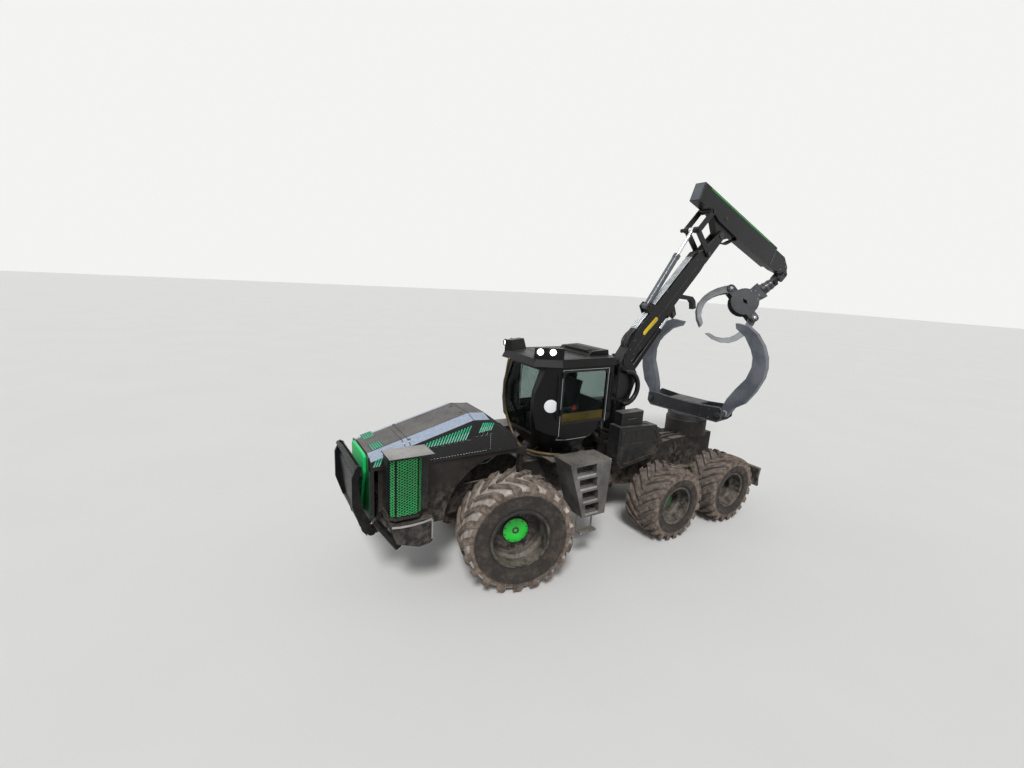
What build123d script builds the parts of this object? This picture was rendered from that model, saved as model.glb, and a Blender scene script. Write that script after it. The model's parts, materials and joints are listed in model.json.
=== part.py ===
from build123d import *
import math
import os

# Six wheel clam bunk skidder, in millimetres.
# While it is drawn, Y = 0 is at the front axle, -Y is forward, +X is the machine's left and
# Z = 0 is the ground. At the end everything moves so that the origin lies under the middle of
# the whole machine's box.

# Wheels and axles
FRONT_TYRE_RADIUS = 860
REAR_TYRE_RADIUS = 670
TYRE_WIDTH = 700
WHEEL_X = 1020
FRONT_FLANGE_RADIUS = 457
REAR_FLANGE_RADIUS = 362
RIM_WIDTH = 620
RIM_THICK = 14
FLANGE_HEIGHT = 25
BEAD_GAP = 0.4
WELL_DEPTH = 45
HUB_FACE_SETBACK = 270
HUB_RADIUS = 198
HUB_REAR_RADIUS = 165
SPINDLE_RADIUS = 80
SHAFT_FIT = 0.05
SEAT_GAP = 0.3
FRONT_LUGS = 19
REAR_LUGS = 20
LUG_HEIGHT = 50
LUG_WIDTH = 106
LUG_LEAN = 38
REAR_AXLE_1_Y = 3220
BOGIE_SPACING = 1600
BOGIE_Y = REAR_AXLE_1_Y + BOGIE_SPACING / 2
REAR_AXLE_2_Y = REAR_AXLE_1_Y + BOGIE_SPACING

# Steering of the front axle
KINGPIN_X = 750
KINGPIN_RADIUS = 40
STEER_REST = -14.3
YOKE_HALF_HEIGHT = 150
YOKE_PLATE = 35
YOKE_HALF_WIDTH = 68
STEER_ARM_Y = 250
STEER_PIN_RADIUS = 20

# Frames and the articulation between them
FRAME_HALF = 320
FRAME_PLATE = 40
FRAME_LOW = 1010
FRAME_TOP = 1400
FRAME_NOSE_Y = -1950
FRAME_TAIL_Y = 1700
PIVOT_Y = 1950
PIVOT_PIN_RADIUS = 60
PIVOT_LOWER_Z = 860
PIVOT_UPPER_Z = 1260
REAR_FRAME_HALF = 290
REAR_FRAME_TAIL_Y = REAR_AXLE_2_Y + 600
REAR_DECK_Z = 1500
BOGIE_PIVOT_Z = 760
BOGIE_BEAM_IN = 420
BOGIE_BEAM_OUT = 560

# Hood, sides and radiators
HOOD_HALF = 500
HOOD_TOP_HALF = 300
HOOD_SIDE_DROP = 60
HOOD_LOW_Z = 1930
HOOD_SKIN = 20
HOOD_FRONT_Y = -2070
HOOD_CREST_Y = -570
HOOD_REAR_Y = 220
HOOD_FRONT_Z = 2120
HOOD_CREST_Z = 2540
HOOD_REAR_Z = 2140
PANEL_OUT = 455
PANEL_THICK = 25
ARCH_RADIUS = 990
RADIATOR_OUT = 880
RADIATOR_FRONT_Y = -1925
RADIATOR_REAR_Y = -1470
RADIATOR_LOW_Z = 1340
RADIATOR_TOP_Z = 2200
RADIATOR_RIGHT_TOP_Z = 1870
WING_REAR_Y = -1331
WING_LOW_Z = 889
RADIATOR_WALL = 25
RADIATOR_BEVEL = 70
GRILLE_BARS = 12

# Cab, turning on its ring
CAB_Y = 1250
CAB_RING_Z = 1640
CAB_FLOOR_Z = 1800
CAB_WAIST_Z = 2350
CAB_ROOF_LOW_Z = 3230
CAB_ROOF_TOP_Z = 3350
POD_HEIGHT = 175
CAB_HALF = 680
CAB_FRONT_HALF = 480
CAB_FRONT_REACH = 790
CAB_FRONT_BEVEL = 400
CAB_REAR_REACH = 830
CAB_REAR_BEVEL = 700
CAB_REAR_HALF = 530
CAB_WALL = 45
CAB_SEAM = 6
DOOR_FRONT_Y = 872
DOOR_REAR_Y = 1850
DOOR_FRAME = 38
DOOR_LOW_Z = 2010
DOOR_TOP_Z = 3190
HINGE_X = CAB_HALF + 18
HINGE_Y = DOOR_FRONT_Y - 3
HINGE_PIN = 9
HINGE_HEIGHTS = (2450, 3060)
GLASS_THICK = 12

# Crane: points in its own upright plane as (y, z)
COLUMN_Y = 2750
COLUMN_RADIUS = 185
COLUMN_BASE_Z = 1760
BOOM_PIVOT_Z = 3150
BOOM_ANGLE = 47.0
BOOM_LENGTH = 3375
BOOM_FORK_START = BOOM_LENGTH - 675
STICK_ANGLE = -20.0
BOOM_HALF = 110
BOOM_LOW = -125
BOOM_HIGH = 210
FORK_PLATE = 30
ROCKER_SETBACK = 520
ROCKER_LENGTH = 590
ROCKER_ANGLE = 134.6
LINK_PLATE = 25
PLATE_GAP = 6
CRANE_PIN = 38
STICK_HALF = 115
STICK_LOW = 170
STICK_MID = 260
STICK_TOP = 620
STICK_TAIL = -970
STICK_NOSE = 1910
STICK_WALL = 22
SLIDE_GAP = 6
EXTENSION_TAIL = 450
TIP_U = 2575
TIP_N = 270
LIFT_BASE_DY = 210
LIFT_BASE_DZ = -280
LIFT_EYE_ALONG = 1450
LIFT_EYE_SIDE = -252
JIB_BASE_ALONG = 1100
JIB_BASE_SIDE = 325

# Grapple, hung from the tip of the extension
TIP_LINK = 250
GRAPPLE_FORWARD = 48.9
GRAPPLE_TILT = 21.0
ROTATOR_DROP = 110
ROTATOR_LENGTH = 300
GRAPPLE_DROP = 860
GRAPPLE_TURN = 52.0
GRAPPLE_PLATE_RADIUS = 310
TINE_PIVOT_S = 430
TINE_PIVOT_D = 60

# Clam bunk over the rear axle
BUNK_Y = BOGIE_Y + 880
BUNK_YAW = 8.0
BUNK_LOW_Z = 1930
BUNK_TOP_Z = 2260
BUNK_TOP_HALF = 870
BUNK_LOW_HALF = 780
BUNK_DEPTH_HALF = 230
BUNK_PLATE = 25
BUNK_RING_RADIUS = 420
BUNK_RING_Z = 1815
ARM_PIVOT_X = 790
ARM_PIVOT_Z = 2085
ARM_THICK = 130
ARM_STAGGER = 90
ARM_CLOSED_RIGHT = 14.0

# Blades
BLADE_Y = REAR_AXLE_2_Y + 810
BLADE_HALF = 1380
BLADE_LOW_Z = 620
BLADE_TOP_Z = 1010
BLADE_PIVOT_Y = REAR_AXLE_2_Y + 360
BLADE_PIVOT_Z = 920
GUARD_PIVOT_Y = -2030
GUARD_PIVOT_Z = 960
GUARD_HALF = 560

# Air hose beside the crane's column
HOSE_X = 250
HOSE_Z = 2672
HOSE_BEND = 305
HOSE_RADIUS = 46


# Basic shapes

def face_of(points):
    return Face(Wire.make_polygon([Vector(*p) for p in points], close=True))


def side_prism(points, x_low, x_high):
    """A side outline of (y, z) points, as thick as from x_low to x_high."""
    return Solid.extrude(face_of([(x_low, y, z) for y, z in points]), Vector(x_high - x_low, 0, 0))


def front_prism(points, y_low, y_high):
    """A front outline of (x, z) points, from y_low to y_high."""
    return Solid.extrude(face_of([(x, y_low, z) for x, z in points]), Vector(0, y_high - y_low, 0))


def plan_prism(points, z_low, z_high):
    """A plan outline of (x, y) points, from z_low to z_high."""
    return Solid.extrude(face_of([(x, y, z_low) for x, y in points]), Vector(0, 0, z_high - z_low))


def box(x_low, x_high, y_low, y_high, z_low, z_high):
    return plan_prism([(x_low, y_low), (x_high, y_low), (x_high, y_high), (x_low, y_high)],
                      z_low, z_high)


def rod_x(y, z, radius, x_low, x_high):
    return Solid.make_cylinder(radius, x_high - x_low, Plane(origin=(x_low, y, z), z_dir=(1, 0, 0)))


def rod_z(x, y, radius, z_low, z_high):
    return Solid.make_cylinder(radius, z_high - z_low, Plane(origin=(x, y, z_low), z_dir=(0, 0, 1)))


def rod_between(start, end, radius):
    way = Vector(*end) - Vector(*start)
    return Solid.make_cylinder(radius, way.length, Plane(origin=Vector(*start), z_dir=way))


def turned_x(profile):
    """A profile of (x, radius) points turned about the X axis."""
    return Solid.revolve(face_of([(x, 0, r) for x, r in profile]), 360, Axis.X)


def joined(*shapes):
    return Part() + list(shapes)


def both_sides(shape):
    return [shape, mirror(shape, about=Plane.YZ)]


def one_each(left, right):
    """A left side shape as drawn and another one mirrored to the right side."""
    return [left, mirror(right, about=Plane.YZ)]


def polar(origin, angle, length):
    """The (y, z) point at a length and an angle above the horizontal."""
    rad = math.radians(angle)
    return (origin[0] + length * math.cos(rad), origin[1] + length * math.sin(rad))


def in_line(origin, angle, along, side):
    """The (y, z) point along a line at an angle, and off it to its upper side."""
    c = math.cos(math.radians(angle))
    s = math.sin(math.radians(angle))
    return (origin[0] + along * c - side * s, origin[1] + along * s + side * c)


def arc_points(centre, radius, start, end, count):
    return [polar(centre, start + (end - start) * i / count, radius) for i in range(count + 1)]


# Wheels

def ring_solid(profile, count, turn=0):
    """A closed profile of (x, radius) points swept round the X axis in flat facets."""
    rings = []
    for i in range(count):
        angle = 2 * math.pi * i / count + turn
        rings.append([Vector(x, r * math.sin(angle), r * math.cos(angle)) for x, r in profile])
    faces = []
    for i in range(count):
        near = rings[i]
        far = rings[(i + 1) % count]
        for j in range(len(profile)):
            k = (j + 1) % len(profile)
            faces.append(Face(Wire.make_polygon([near[j], near[k], far[k], far[j]], close=True)))
    return Solid(Shell(faces))


def hull_strip(stations):
    """A bar through four-cornered stations, its long sides split into flat triangles."""
    faces = []

    def triangle(a, b, c):
        faces.append(Face(Wire.make_polygon([a, b, c], close=True)))

    for near, far in zip(stations, stations[1:]):
        for j in range(4):
            k = (j + 1) % 4
            triangle(near[j], near[k], far[k])
            triangle(near[j], far[k], far[j])
    for end in (stations[0], stations[-1]):
        triangle(end[0], end[1], end[2])
        triangle(end[0], end[2], end[3])
    return Solid(Shell(faces))


def tyre_lug(radius, shoulder_root):
    """One slanted lug from the middle of the tread over the +X shoulder."""
    half = TYRE_WIDTH / 2
    crown = radius - LUG_HEIGHT
    rows = [
        (14, radius, crown - 30, -0.5, LUG_WIDTH * 0.62, LUG_WIDTH * 0.95),
        (half * 0.5, radius, crown - 30, 0.05, LUG_WIDTH * 0.7, LUG_WIDTH * 1.1),
        (half - 42, radius - 10, crown - 60, 0.42, LUG_WIDTH * 0.85, LUG_WIDTH * 1.25),
        (half, radius - 40, crown - 90, 0.55, LUG_WIDTH * 0.9, LUG_WIDTH * 1.25),
        (half - 1, shoulder_root, shoulder_root, 0.6, LUG_WIDTH * 0.8, LUG_WIDTH * 1.0),
    ]
    swing = half * math.tan(math.radians(LUG_LEAN)) * 1.15
    stations = []
    for x, top, low, along, top_width, low_width in rows:
        inner_x = x if x < half - 60 else x - 70
        corners = []
        for cx, r, width in ((x, top, -top_width), (x, top, top_width),
                             (inner_x, low, low_width), (inner_x, low, -low_width)):
            angle = (along * swing + width / 2) / radius
            corners.append(Vector(cx, r * math.sin(angle), r * math.cos(angle)))
        stations.append(corners)
    return hull_strip(stations)


def tyre(radius, flange_radius, lug_count):
    """Tractor lug tyre about the X axis, its middle at x = 0."""
    half = TYRE_WIDTH / 2
    count = 2 * lug_count
    grow = 1 / math.cos(math.pi / count)
    seat = (flange_radius - FLANGE_HEIGHT + BEAD_GAP) * grow
    lip = (flange_radius + BEAD_GAP) * grow
    bead = RIM_WIDTH / 2 - RIM_THICK - BEAD_GAP
    crown = radius - LUG_HEIGHT
    rise = crown - lip
    side = [(bead, seat), (bead, lip), (half - 14, lip + 0.3 * rise), (half - 10, lip + 0.68 * rise),
            (half - 70, crown - 16)]
    carcass = ring_solid(side + [(-x, r) for x, r in reversed(side)], count)
    bar = tyre_lug(radius, lip + 0.5 * rise)
    left = [Rot(360 * i / lug_count, 0, 0) * bar for i in range(lug_count)]
    other = mirror(bar, about=Plane.YZ)
    right = [Rot(360 * (i + 0.5) / lug_count, 0, 0) * other for i in range(lug_count)]
    return joined(carcass, *left) + right


def rim(flange_radius):
    """Deep dished steel wheel with its planetary hub, outer side towards +X."""
    half = RIM_WIDTH / 2
    seat = flange_radius - FLANGE_HEIGHT
    well = seat - WELL_DEPTH
    edge = half - RIM_THICK
    outer = [
        (-half, flange_radius), (-edge, flange_radius), (-edge, seat), (-half * 0.55, seat - 6),
        (-half * 0.42, well), (half * 0.3, well), (half * 0.45, seat - 6), (edge, seat),
        (edge, flange_radius), (half, flange_radius),
    ]
    inner = [
        (half, seat - RIM_THICK), (half * 0.45 - 4, seat - 6 - RIM_THICK),
        (half * 0.3 - 4, well - RIM_THICK), (-half * 0.42 + 4, well - RIM_THICK),
        (-half * 0.55 + 4, seat - 6 - RIM_THICK), (-half, seat - RIM_THICK),
    ]
    face_x = half - HUB_FACE_SETBACK
    disc_x = face_x - 60
    hub = turned_x([
        (disc_x - 150, SPINDLE_RADIUS + SHAFT_FIT), (disc_x - 150, HUB_REAR_RADIUS),
        (disc_x - 14, HUB_REAR_RADIUS), (disc_x - 14, well - 5), (disc_x + 4, well - 5),
        (disc_x + 4, HUB_RADIUS + 30), (disc_x + 22, HUB_RADIUS), (face_x - 8, HUB_RADIUS),
        (face_x, HUB_RADIUS - 14), (face_x, 60), (face_x + 6, 55), (face_x + 6, 0),
        (disc_x, 0), (disc_x, SPINDLE_RADIUS + SHAFT_FIT),
    ])
    return joined(turned_x(outer + inner), hub)


def spindle_end():
    """How far the fixed spindle runs into the hub, from the middle of the wheel."""
    return RIM_WIDTH / 2 - HUB_FACE_SETBACK - 60 - 8


def steered(shape):
    """Turns a left side part about its kingpin to the steering angle at rest."""
    return Pos(KINGPIN_X, 0, 0) * Rot(0, 0, STEER_REST) * Pos(-KINGPIN_X, 0, 0) * shape


def steered_right(shape):
    """The same for the right side, which turns the same way about its own kingpin."""
    return Pos(-KINGPIN_X, 0, 0) * Rot(0, 0, STEER_REST) * Pos(KINGPIN_X, 0, 0) * shape


def knuckle():
    """Left knuckle: kingpins, body, flange and the spindle that carries the wheel."""
    z = FRONT_TYRE_RADIUS
    gap = 3
    body_half = YOKE_HALF_HEIGHT - YOKE_PLATE - gap
    start = WHEEL_X + spindle_end() - 142 - 5
    return joined(
        rod_z(KINGPIN_X, 0, KINGPIN_RADIUS, z - YOKE_HALF_HEIGHT, z + YOKE_HALF_HEIGHT),
        rod_z(KINGPIN_X, 0, 88, z - body_half, z + body_half),
        rod_x(0, z, 105, KINGPIN_X, start),
        rod_x(0, z, HUB_REAR_RADIUS - 15, KINGPIN_X + 60, start - 6),
        rod_x(0, z, SPINDLE_RADIUS, KINGPIN_X, WHEEL_X + spindle_end()),
        plan_prism(
            [
                (KINGPIN_X - 50, 60), (KINGPIN_X + 50, 60),
                (KINGPIN_X + 36, STEER_ARM_Y + 36), (KINGPIN_X - 36, STEER_ARM_Y + 36),
            ],
            z - 60, z - 25,
        ),
    ) - [rod_z(KINGPIN_X, STEER_ARM_Y, STEER_PIN_RADIUS + SHAFT_FIT, z - 90, z + 10)]


def steering_link():
    """Tie rod between the two steering arms, drawn straight ahead."""
    z = FRONT_TYRE_RADIUS - 100
    x = KINGPIN_X
    eye = joined(rod_z(x, STEER_ARM_Y, 34, z - 30, z + 34),
                 rod_z(x, STEER_ARM_Y, STEER_PIN_RADIUS, z, z + 85))
    return joined(rod_between((-x, STEER_ARM_Y, z), (x, STEER_ARM_Y, z), 24), *both_sides(eye))


def steering_link_at_rest():
    """The link keeps its direction and moves as far as the ends of the arms do."""
    arm = Vector(0, STEER_ARM_Y, 0)
    moved = arm.rotate(Axis.Z, STEER_REST) - arm
    return Pos(moved.X, moved.Y, 0) * steering_link()


def front_axle():
    z = FRONT_TYRE_RADIUS
    yoke_reach = KINGPIN_X + 46
    beam = [
        (0, 215), (110, 205), (220, 130), (KINGPIN_X - 190, 105), (KINGPIN_X - 190, 0), (0, 0),
    ]
    housing = Pos(0, 0, z) * joined(*both_sides(turned_x(beam)))
    plates = []
    for sign in (1, -1):
        far = z + sign * YOKE_HALF_HEIGHT
        near = z + sign * (YOKE_HALF_HEIGHT - YOKE_PLATE)
        outline = [
            (KINGPIN_X - 200, -YOKE_HALF_WIDTH), (KINGPIN_X, -YOKE_HALF_WIDTH),
            (yoke_reach, -YOKE_HALF_WIDTH * 0.5), (yoke_reach, YOKE_HALF_WIDTH * 0.5),
            (KINGPIN_X, YOKE_HALF_WIDTH), (KINGPIN_X - 200, YOKE_HALF_WIDTH),
        ]
        plates.append(plan_prism(outline, min(far, near), max(far, near)))
    plates.append(box(KINGPIN_X - 240, KINGPIN_X - 165, -YOKE_HALF_WIDTH, YOKE_HALF_WIDTH,
                      z - YOKE_HALF_HEIGHT, z + YOKE_HALF_HEIGHT))
    bore = rod_z(KINGPIN_X, 0, KINGPIN_RADIUS + SHAFT_FIT, z - 200, z + 200)
    yoke = joined(*plates) - [bore]
    mount = box(-FRAME_HALF, FRAME_HALF, -150, 150, z + 90, FRAME_LOW)
    return joined(housing, *both_sides(yoke), mount)


# Front frame and body

def frame_beam():
    """Left side plate of the front frame, from the nose to the pivot yokes."""
    outline = [
        (FRAME_NOSE_Y, FRAME_LOW - 90), (-900, FRAME_LOW - 60), (-300, FRAME_LOW), (300, FRAME_LOW),
        (FRAME_TAIL_Y - 300, FRAME_LOW - 110), (FRAME_TAIL_Y, PIVOT_LOWER_Z - 80),
        (FRAME_TAIL_Y, PIVOT_UPPER_Z + 110), (1450, CAB_RING_Z - 60), (420, CAB_RING_Z - 60),
        (120, FRAME_TOP), (FRAME_NOSE_Y, FRAME_TOP),
    ]
    return side_prism(outline, FRAME_HALF - FRAME_PLATE, FRAME_HALF)


def pivot_yoke(z, half_height):
    """A horizontal plate round the articulation pin, pointing back."""
    outline = [(-FRAME_HALF, FRAME_TAIL_Y - 60), (FRAME_HALF, FRAME_TAIL_Y - 60)]
    outline += [(x, y) for y, x in arc_points((PIVOT_Y, 0), 150, 60, -60, 6)]
    plate = plan_prism(outline, z - half_height, z + half_height)
    bore = rod_z(0, PIVOT_Y, PIVOT_PIN_RADIUS + SHAFT_FIT, z - 200, z + 200)
    return joined(plate) - [bore]


def front_frame():
    inner = FRAME_HALF - FRAME_PLATE
    cross = [
        box(-inner, inner, FRAME_NOSE_Y, FRAME_NOSE_Y + 60, FRAME_LOW - 80, FRAME_TOP),
        box(-inner, inner, -700, -650, FRAME_LOW, FRAME_TOP - 60),
        box(-inner, inner, FRAME_TAIL_Y - 50, FRAME_TAIL_Y, PIVOT_LOWER_Z - 80, PIVOT_UPPER_Z + 110),
        box(-inner, inner, 480, 1420, CAB_RING_Z - 100, CAB_RING_Z - 60),
    ]
    pedestal = rod_z(0, CAB_Y, 470, CAB_RING_Z - 60, CAB_RING_Z)
    ring = rod_z(0, CAB_Y, 560, CAB_RING_Z - 62, CAB_RING_Z - 20)
    outrigger = box(inner, 800, 820, 1380, CAB_RING_Z - 160, CAB_RING_Z - 62)
    ear = joined(rod_x(GUARD_PIVOT_Y, GUARD_PIVOT_Z, 60, 240, 300),
                 box(240, 300, GUARD_PIVOT_Y, FRAME_NOSE_Y + 30,
                     GUARD_PIVOT_Z - 60, GUARD_PIVOT_Z + 60))
    ear = ear - [rod_x(GUARD_PIVOT_Y, GUARD_PIVOT_Z, 30 + SHAFT_FIT, 200, 340)]
    return joined(*both_sides(frame_beam()), *cross, pedestal, ring, *both_sides(outrigger),
                  pivot_yoke(PIVOT_LOWER_Z, 40), pivot_yoke(PIVOT_UPPER_Z, 40), *both_sides(ear))


def engine_block():
    return box(-260, 260, -1500, -500, FRAME_TOP + 20, 1900)


def engine_mounts():
    edge = FRAME_HALF - FRAME_PLATE - 0.3
    return [solid for y in (-1400, -700)
            for solid in both_sides(box(160, edge, y, y + 120, FRAME_TOP - 60, FRAME_TOP + 60))]


def hood_volume(inset):
    """The hood's outer form, or the same set in by its skin."""
    ends = 0 if inset == 0 else inset
    sections = [
        (HOOD_FRONT_Y + ends, HOOD_FRONT_Z), (HOOD_CREST_Y, HOOD_CREST_Z),
        (HOOD_CREST_Y + 270, HOOD_CREST_Z - 20), (HOOD_REAR_Y - ends, HOOD_REAR_Z),
    ]
    low = HOOD_LOW_Z - (1 if inset else 0)

    def roofline(drop):
        top = [(y, z - drop - inset) for y, z in sections]
        return top + [(sections[-1][0], low), (sections[0][0], low)]

    half = HOOD_HALF - inset
    core = side_prism(roofline(0), -HOOD_TOP_HALF + inset / 2, HOOD_TOP_HALF - inset / 2)
    wings = []
    for sign in (1, -1):
        top = roofline(0)
        side = roofline(HOOD_SIDE_DROP)
        a = face_of([(sign * (HOOD_TOP_HALF - inset / 2 - 1), y, z) for y, z in top])
        b = face_of([(sign * half, y, z) for y, z in side])
        wings.append(Solid.make_loft([a.outer_wire(), b.outer_wire()], True))
    return joined(core, *wings)


def hood():
    shell = hood_volume(0) - hood_volume(HOOD_SKIN)
    slots = []
    for i in range(9):
        y = -1500 + i * 105
        top = HOOD_FRONT_Z + (y - HOOD_FRONT_Y) * (HOOD_CREST_Z - HOOD_FRONT_Z) / (
            HOOD_CREST_Y - HOOD_FRONT_Y) - HOOD_SIDE_DROP - 70
        low = top - 30 - i * 22
        slots.append(side_prism([(y, low), (y + 45, low), (y + 95, top), (y + 50, top)],
                                -HOOD_HALF - 5, HOOD_HALF + 5))
    for i in range(4):
        y = -520 + i * 75
        slots.append(side_prism([(y, 2220), (y + 35, 2220), (y + 75, 2380 - i * 12),
                                 (y + 40, 2390 - i * 12)], -HOOD_HALF - 5, HOOD_HALF + 5))
    keep = box(-HOOD_HALF + HOOD_SKIN + 2, HOOD_HALF - HOOD_SKIN - 2, -2200, 400, 1800, 2700)
    return shell - [(joined(slot) - [keep]) for slot in slots]


def side_panels():
    """The big flat flanks under the hood, cut round the wheel."""
    outline = [
        (-1620, FRAME_LOW - 60), (250, FRAME_LOW - 60), (430, 1560), (430, HOOD_LOW_Z - 2),
        (-1960, HOOD_LOW_Z - 2), (-1960, 1290), (-1620, 1290),
    ]
    arch = rod_x(0, FRONT_TYRE_RADIUS, ARCH_RADIUS, 0, 900)
    flank = joined(side_prism(outline, PANEL_OUT - PANEL_THICK, PANEL_OUT)) - [arch]
    ledge = box(FRAME_HALF, PANEL_OUT - PANEL_THICK, -1500, -1440, FRAME_LOW, FRAME_TOP - 40)
    rear_ledge = box(FRAME_HALF, PANEL_OUT - PANEL_THICK, 330, 400, CAB_RING_Z - 160, HOOD_LOW_Z - 60)
    return [solid for side in both_sides(joined(flank, ledge, rear_ledge)) for solid in side.solids()]


def nose_panel():
    """Front face: a green centre that narrows downwards, on its carrier."""
    y = HOOD_FRONT_Y
    green = front_prism([(-335, 2080), (-280, 2115), (280, 2115), (335, 2080), (320, 1850),
                         (60, 1120), (-60, 1120), (-320, 1850)], y - 60, y - 24)
    carrier = front_prism([(-HOOD_HALF, HOOD_LOW_Z - 2), (HOOD_HALF, HOOD_LOW_Z - 2),
                           (HOOD_HALF, 1290), (300, 1060), (-300, 1060),
                           (-HOOD_HALF, 1290)], y - 24, y + 40)
    cap = box(-HOOD_HALF + 60, HOOD_HALF - 60, y - 24, y - 0.3, HOOD_LOW_Z - 10, HOOD_FRONT_Z - 20)
    tie = box(-200, 200, y + 40, FRAME_NOSE_Y - 0.3, 1080, FRAME_TOP - 20)
    return joined(green, carrier, cap, tie)


def radiator_box(top):
    """Left cooler housing, open to the side behind its mesh, with a tread plate on top."""
    x0 = HOOD_HALF + 6
    bevel = RADIATOR_BEVEL
    plan = [(x0, RADIATOR_FRONT_Y), (RADIATOR_OUT - bevel, RADIATOR_FRONT_Y),
            (RADIATOR_OUT, RADIATOR_FRONT_Y + bevel), (RADIATOR_OUT, RADIATOR_REAR_Y - bevel),
            (RADIATOR_OUT - bevel, RADIATOR_REAR_Y), (x0, RADIATOR_REAR_Y)]
    wide = [(x0, RADIATOR_FRONT_Y - 15), (RADIATOR_OUT + 20, RADIATOR_FRONT_Y - 15),
            (RADIATOR_OUT + 20, RADIATOR_REAR_Y + 140), (x0, RADIATOR_REAR_Y + 140)]
    tread = plan_prism(wide, top, top + 16)
    sill = plan_prism(plan, RADIATOR_LOW_Z, RADIATOR_LOW_Z + 40)
    core = box(x0, RADIATOR_OUT - bevel - 45, RADIATOR_FRONT_Y + 15, RADIATOR_REAR_Y + 100,
               RADIATOR_LOW_Z + 40, top)
    wing_top = RADIATOR_LOW_Z - 55
    wing_side = [(RADIATOR_FRONT_Y + 94, WING_LOW_Z + 111), (RADIATOR_FRONT_Y + 395, WING_LOW_Z),
                 (WING_REAR_Y - 40, WING_LOW_Z + 20), (WING_REAR_Y, WING_LOW_Z + 60),
                 (WING_REAR_Y, wing_top), (RADIATOR_FRONT_Y + 10, wing_top)]
    wing = side_prism(wing_side, x0 - 40, RADIATOR_OUT + 10)
    hollow = side_prism([(RADIATOR_FRONT_Y + 120, WING_LOW_Z + 135), (RADIATOR_FRONT_Y + 400, WING_LOW_Z + 30),
                         (WING_REAR_Y + 30, WING_LOW_Z + 30), (WING_REAR_Y + 30, wing_top - 30),
                         (RADIATOR_FRONT_Y + 45, wing_top - 30)], x0 - 10, RADIATOR_OUT - 20)
    post = box(x0, x0 + 120, RADIATOR_FRONT_Y + 60, RADIATOR_REAR_Y + 80, wing_top - 20, RADIATOR_LOW_Z)
    shelf = box(FRAME_HALF + 0.3, x0 - 20, RADIATOR_FRONT_Y + 60, RADIATOR_FRONT_Y + 300,
                wing_top - 75, wing_top - 10)
    return joined(tread, sill, core, joined(wing) - [hollow], post, shelf)


def side_grille(top):
    """Left mesh guard: a bevelled tray of upright edges and cross bars, open between them."""
    bevel = RADIATOR_BEVEL
    thick = 14
    low = RADIATOR_LOW_Z + 40.3
    high = top - 0.3

    def band(inset):
        x0 = RADIATOR_OUT - bevel - 40
        return [(x0, RADIATOR_FRONT_Y + inset), (RADIATOR_OUT - bevel, RADIATOR_FRONT_Y + inset),
                (RADIATOR_OUT - inset, RADIATOR_FRONT_Y + bevel),
                (RADIATOR_OUT - inset, RADIATOR_REAR_Y - bevel),
                (RADIATOR_OUT - bevel, RADIATOR_REAR_Y - inset), (x0, RADIATOR_REAR_Y - inset)]

    tray = joined(plan_prism(band(0), low, high)) - [plan_prism(
        [(x - (60 if i in (0, 5) else 0), y) for i, (x, y) in enumerate(band(thick))],
        low - 1, high + 1)]
    step = (RADIATOR_TOP_Z - RADIATOR_LOW_Z - 60) / GRILLE_BARS
    window = step * 0.62
    cuts = []
    for i in range(int((high - low - 15) / step)):
        z = low + 20 + step * i
        cuts.append(box(RADIATOR_OUT - 30, RADIATOR_OUT + 10, RADIATOR_FRONT_Y + bevel + 20,
                        RADIATOR_REAR_Y - bevel - 20, z, z + window))
    return tray - cuts


def access_steps():
    """Left step box behind the front wheel, four recessed treads and a hanging lowest rung."""
    inner = 800
    outer = 1240
    top = 1840
    low = 880
    front_top = 725
    front_low = 1060
    rear = 1560
    body = side_prism([(front_top, top), (rear, top - 20), (rear - 40, low), (front_low, low)],
                      inner, outer)
    cuts = []
    count = 4
    rise = (top - low - 60) / count
    for i in range(count):
        z = low + 60 + rise * i
        lean = front_low - (front_low - front_top) * (z - low) / (top - low)
        reach = lean + 80 + 0.5 * (rear - lean)
        cuts.append(side_prism([(lean + 70, z), (reach, z), (reach, z + rise - 60),
                                (lean + 45, z + rise - 60)], outer - 190, outer + 5))
    rung = joined(box(outer - 150, outer - 10, 1050, 1390, 590, 612),
                  box(outer - 150, outer - 138, 1050, 1078, 590, low + 1),
                  box(outer - 150, outer - 138, 1362, 1390, 590, low + 1))
    bracket = box(FRAME_HALF, inner, 1200, 1380, FRAME_TOP - 200, FRAME_TOP - 60)
    deck = box(FRAME_HALF + 10, inner, 700, 1500, 1720, 1738)
    return joined(joined(body) - cuts, rung, bracket, joined(deck) - [rod_z(0, CAB_Y, 620, 1700, 1800)])


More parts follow.
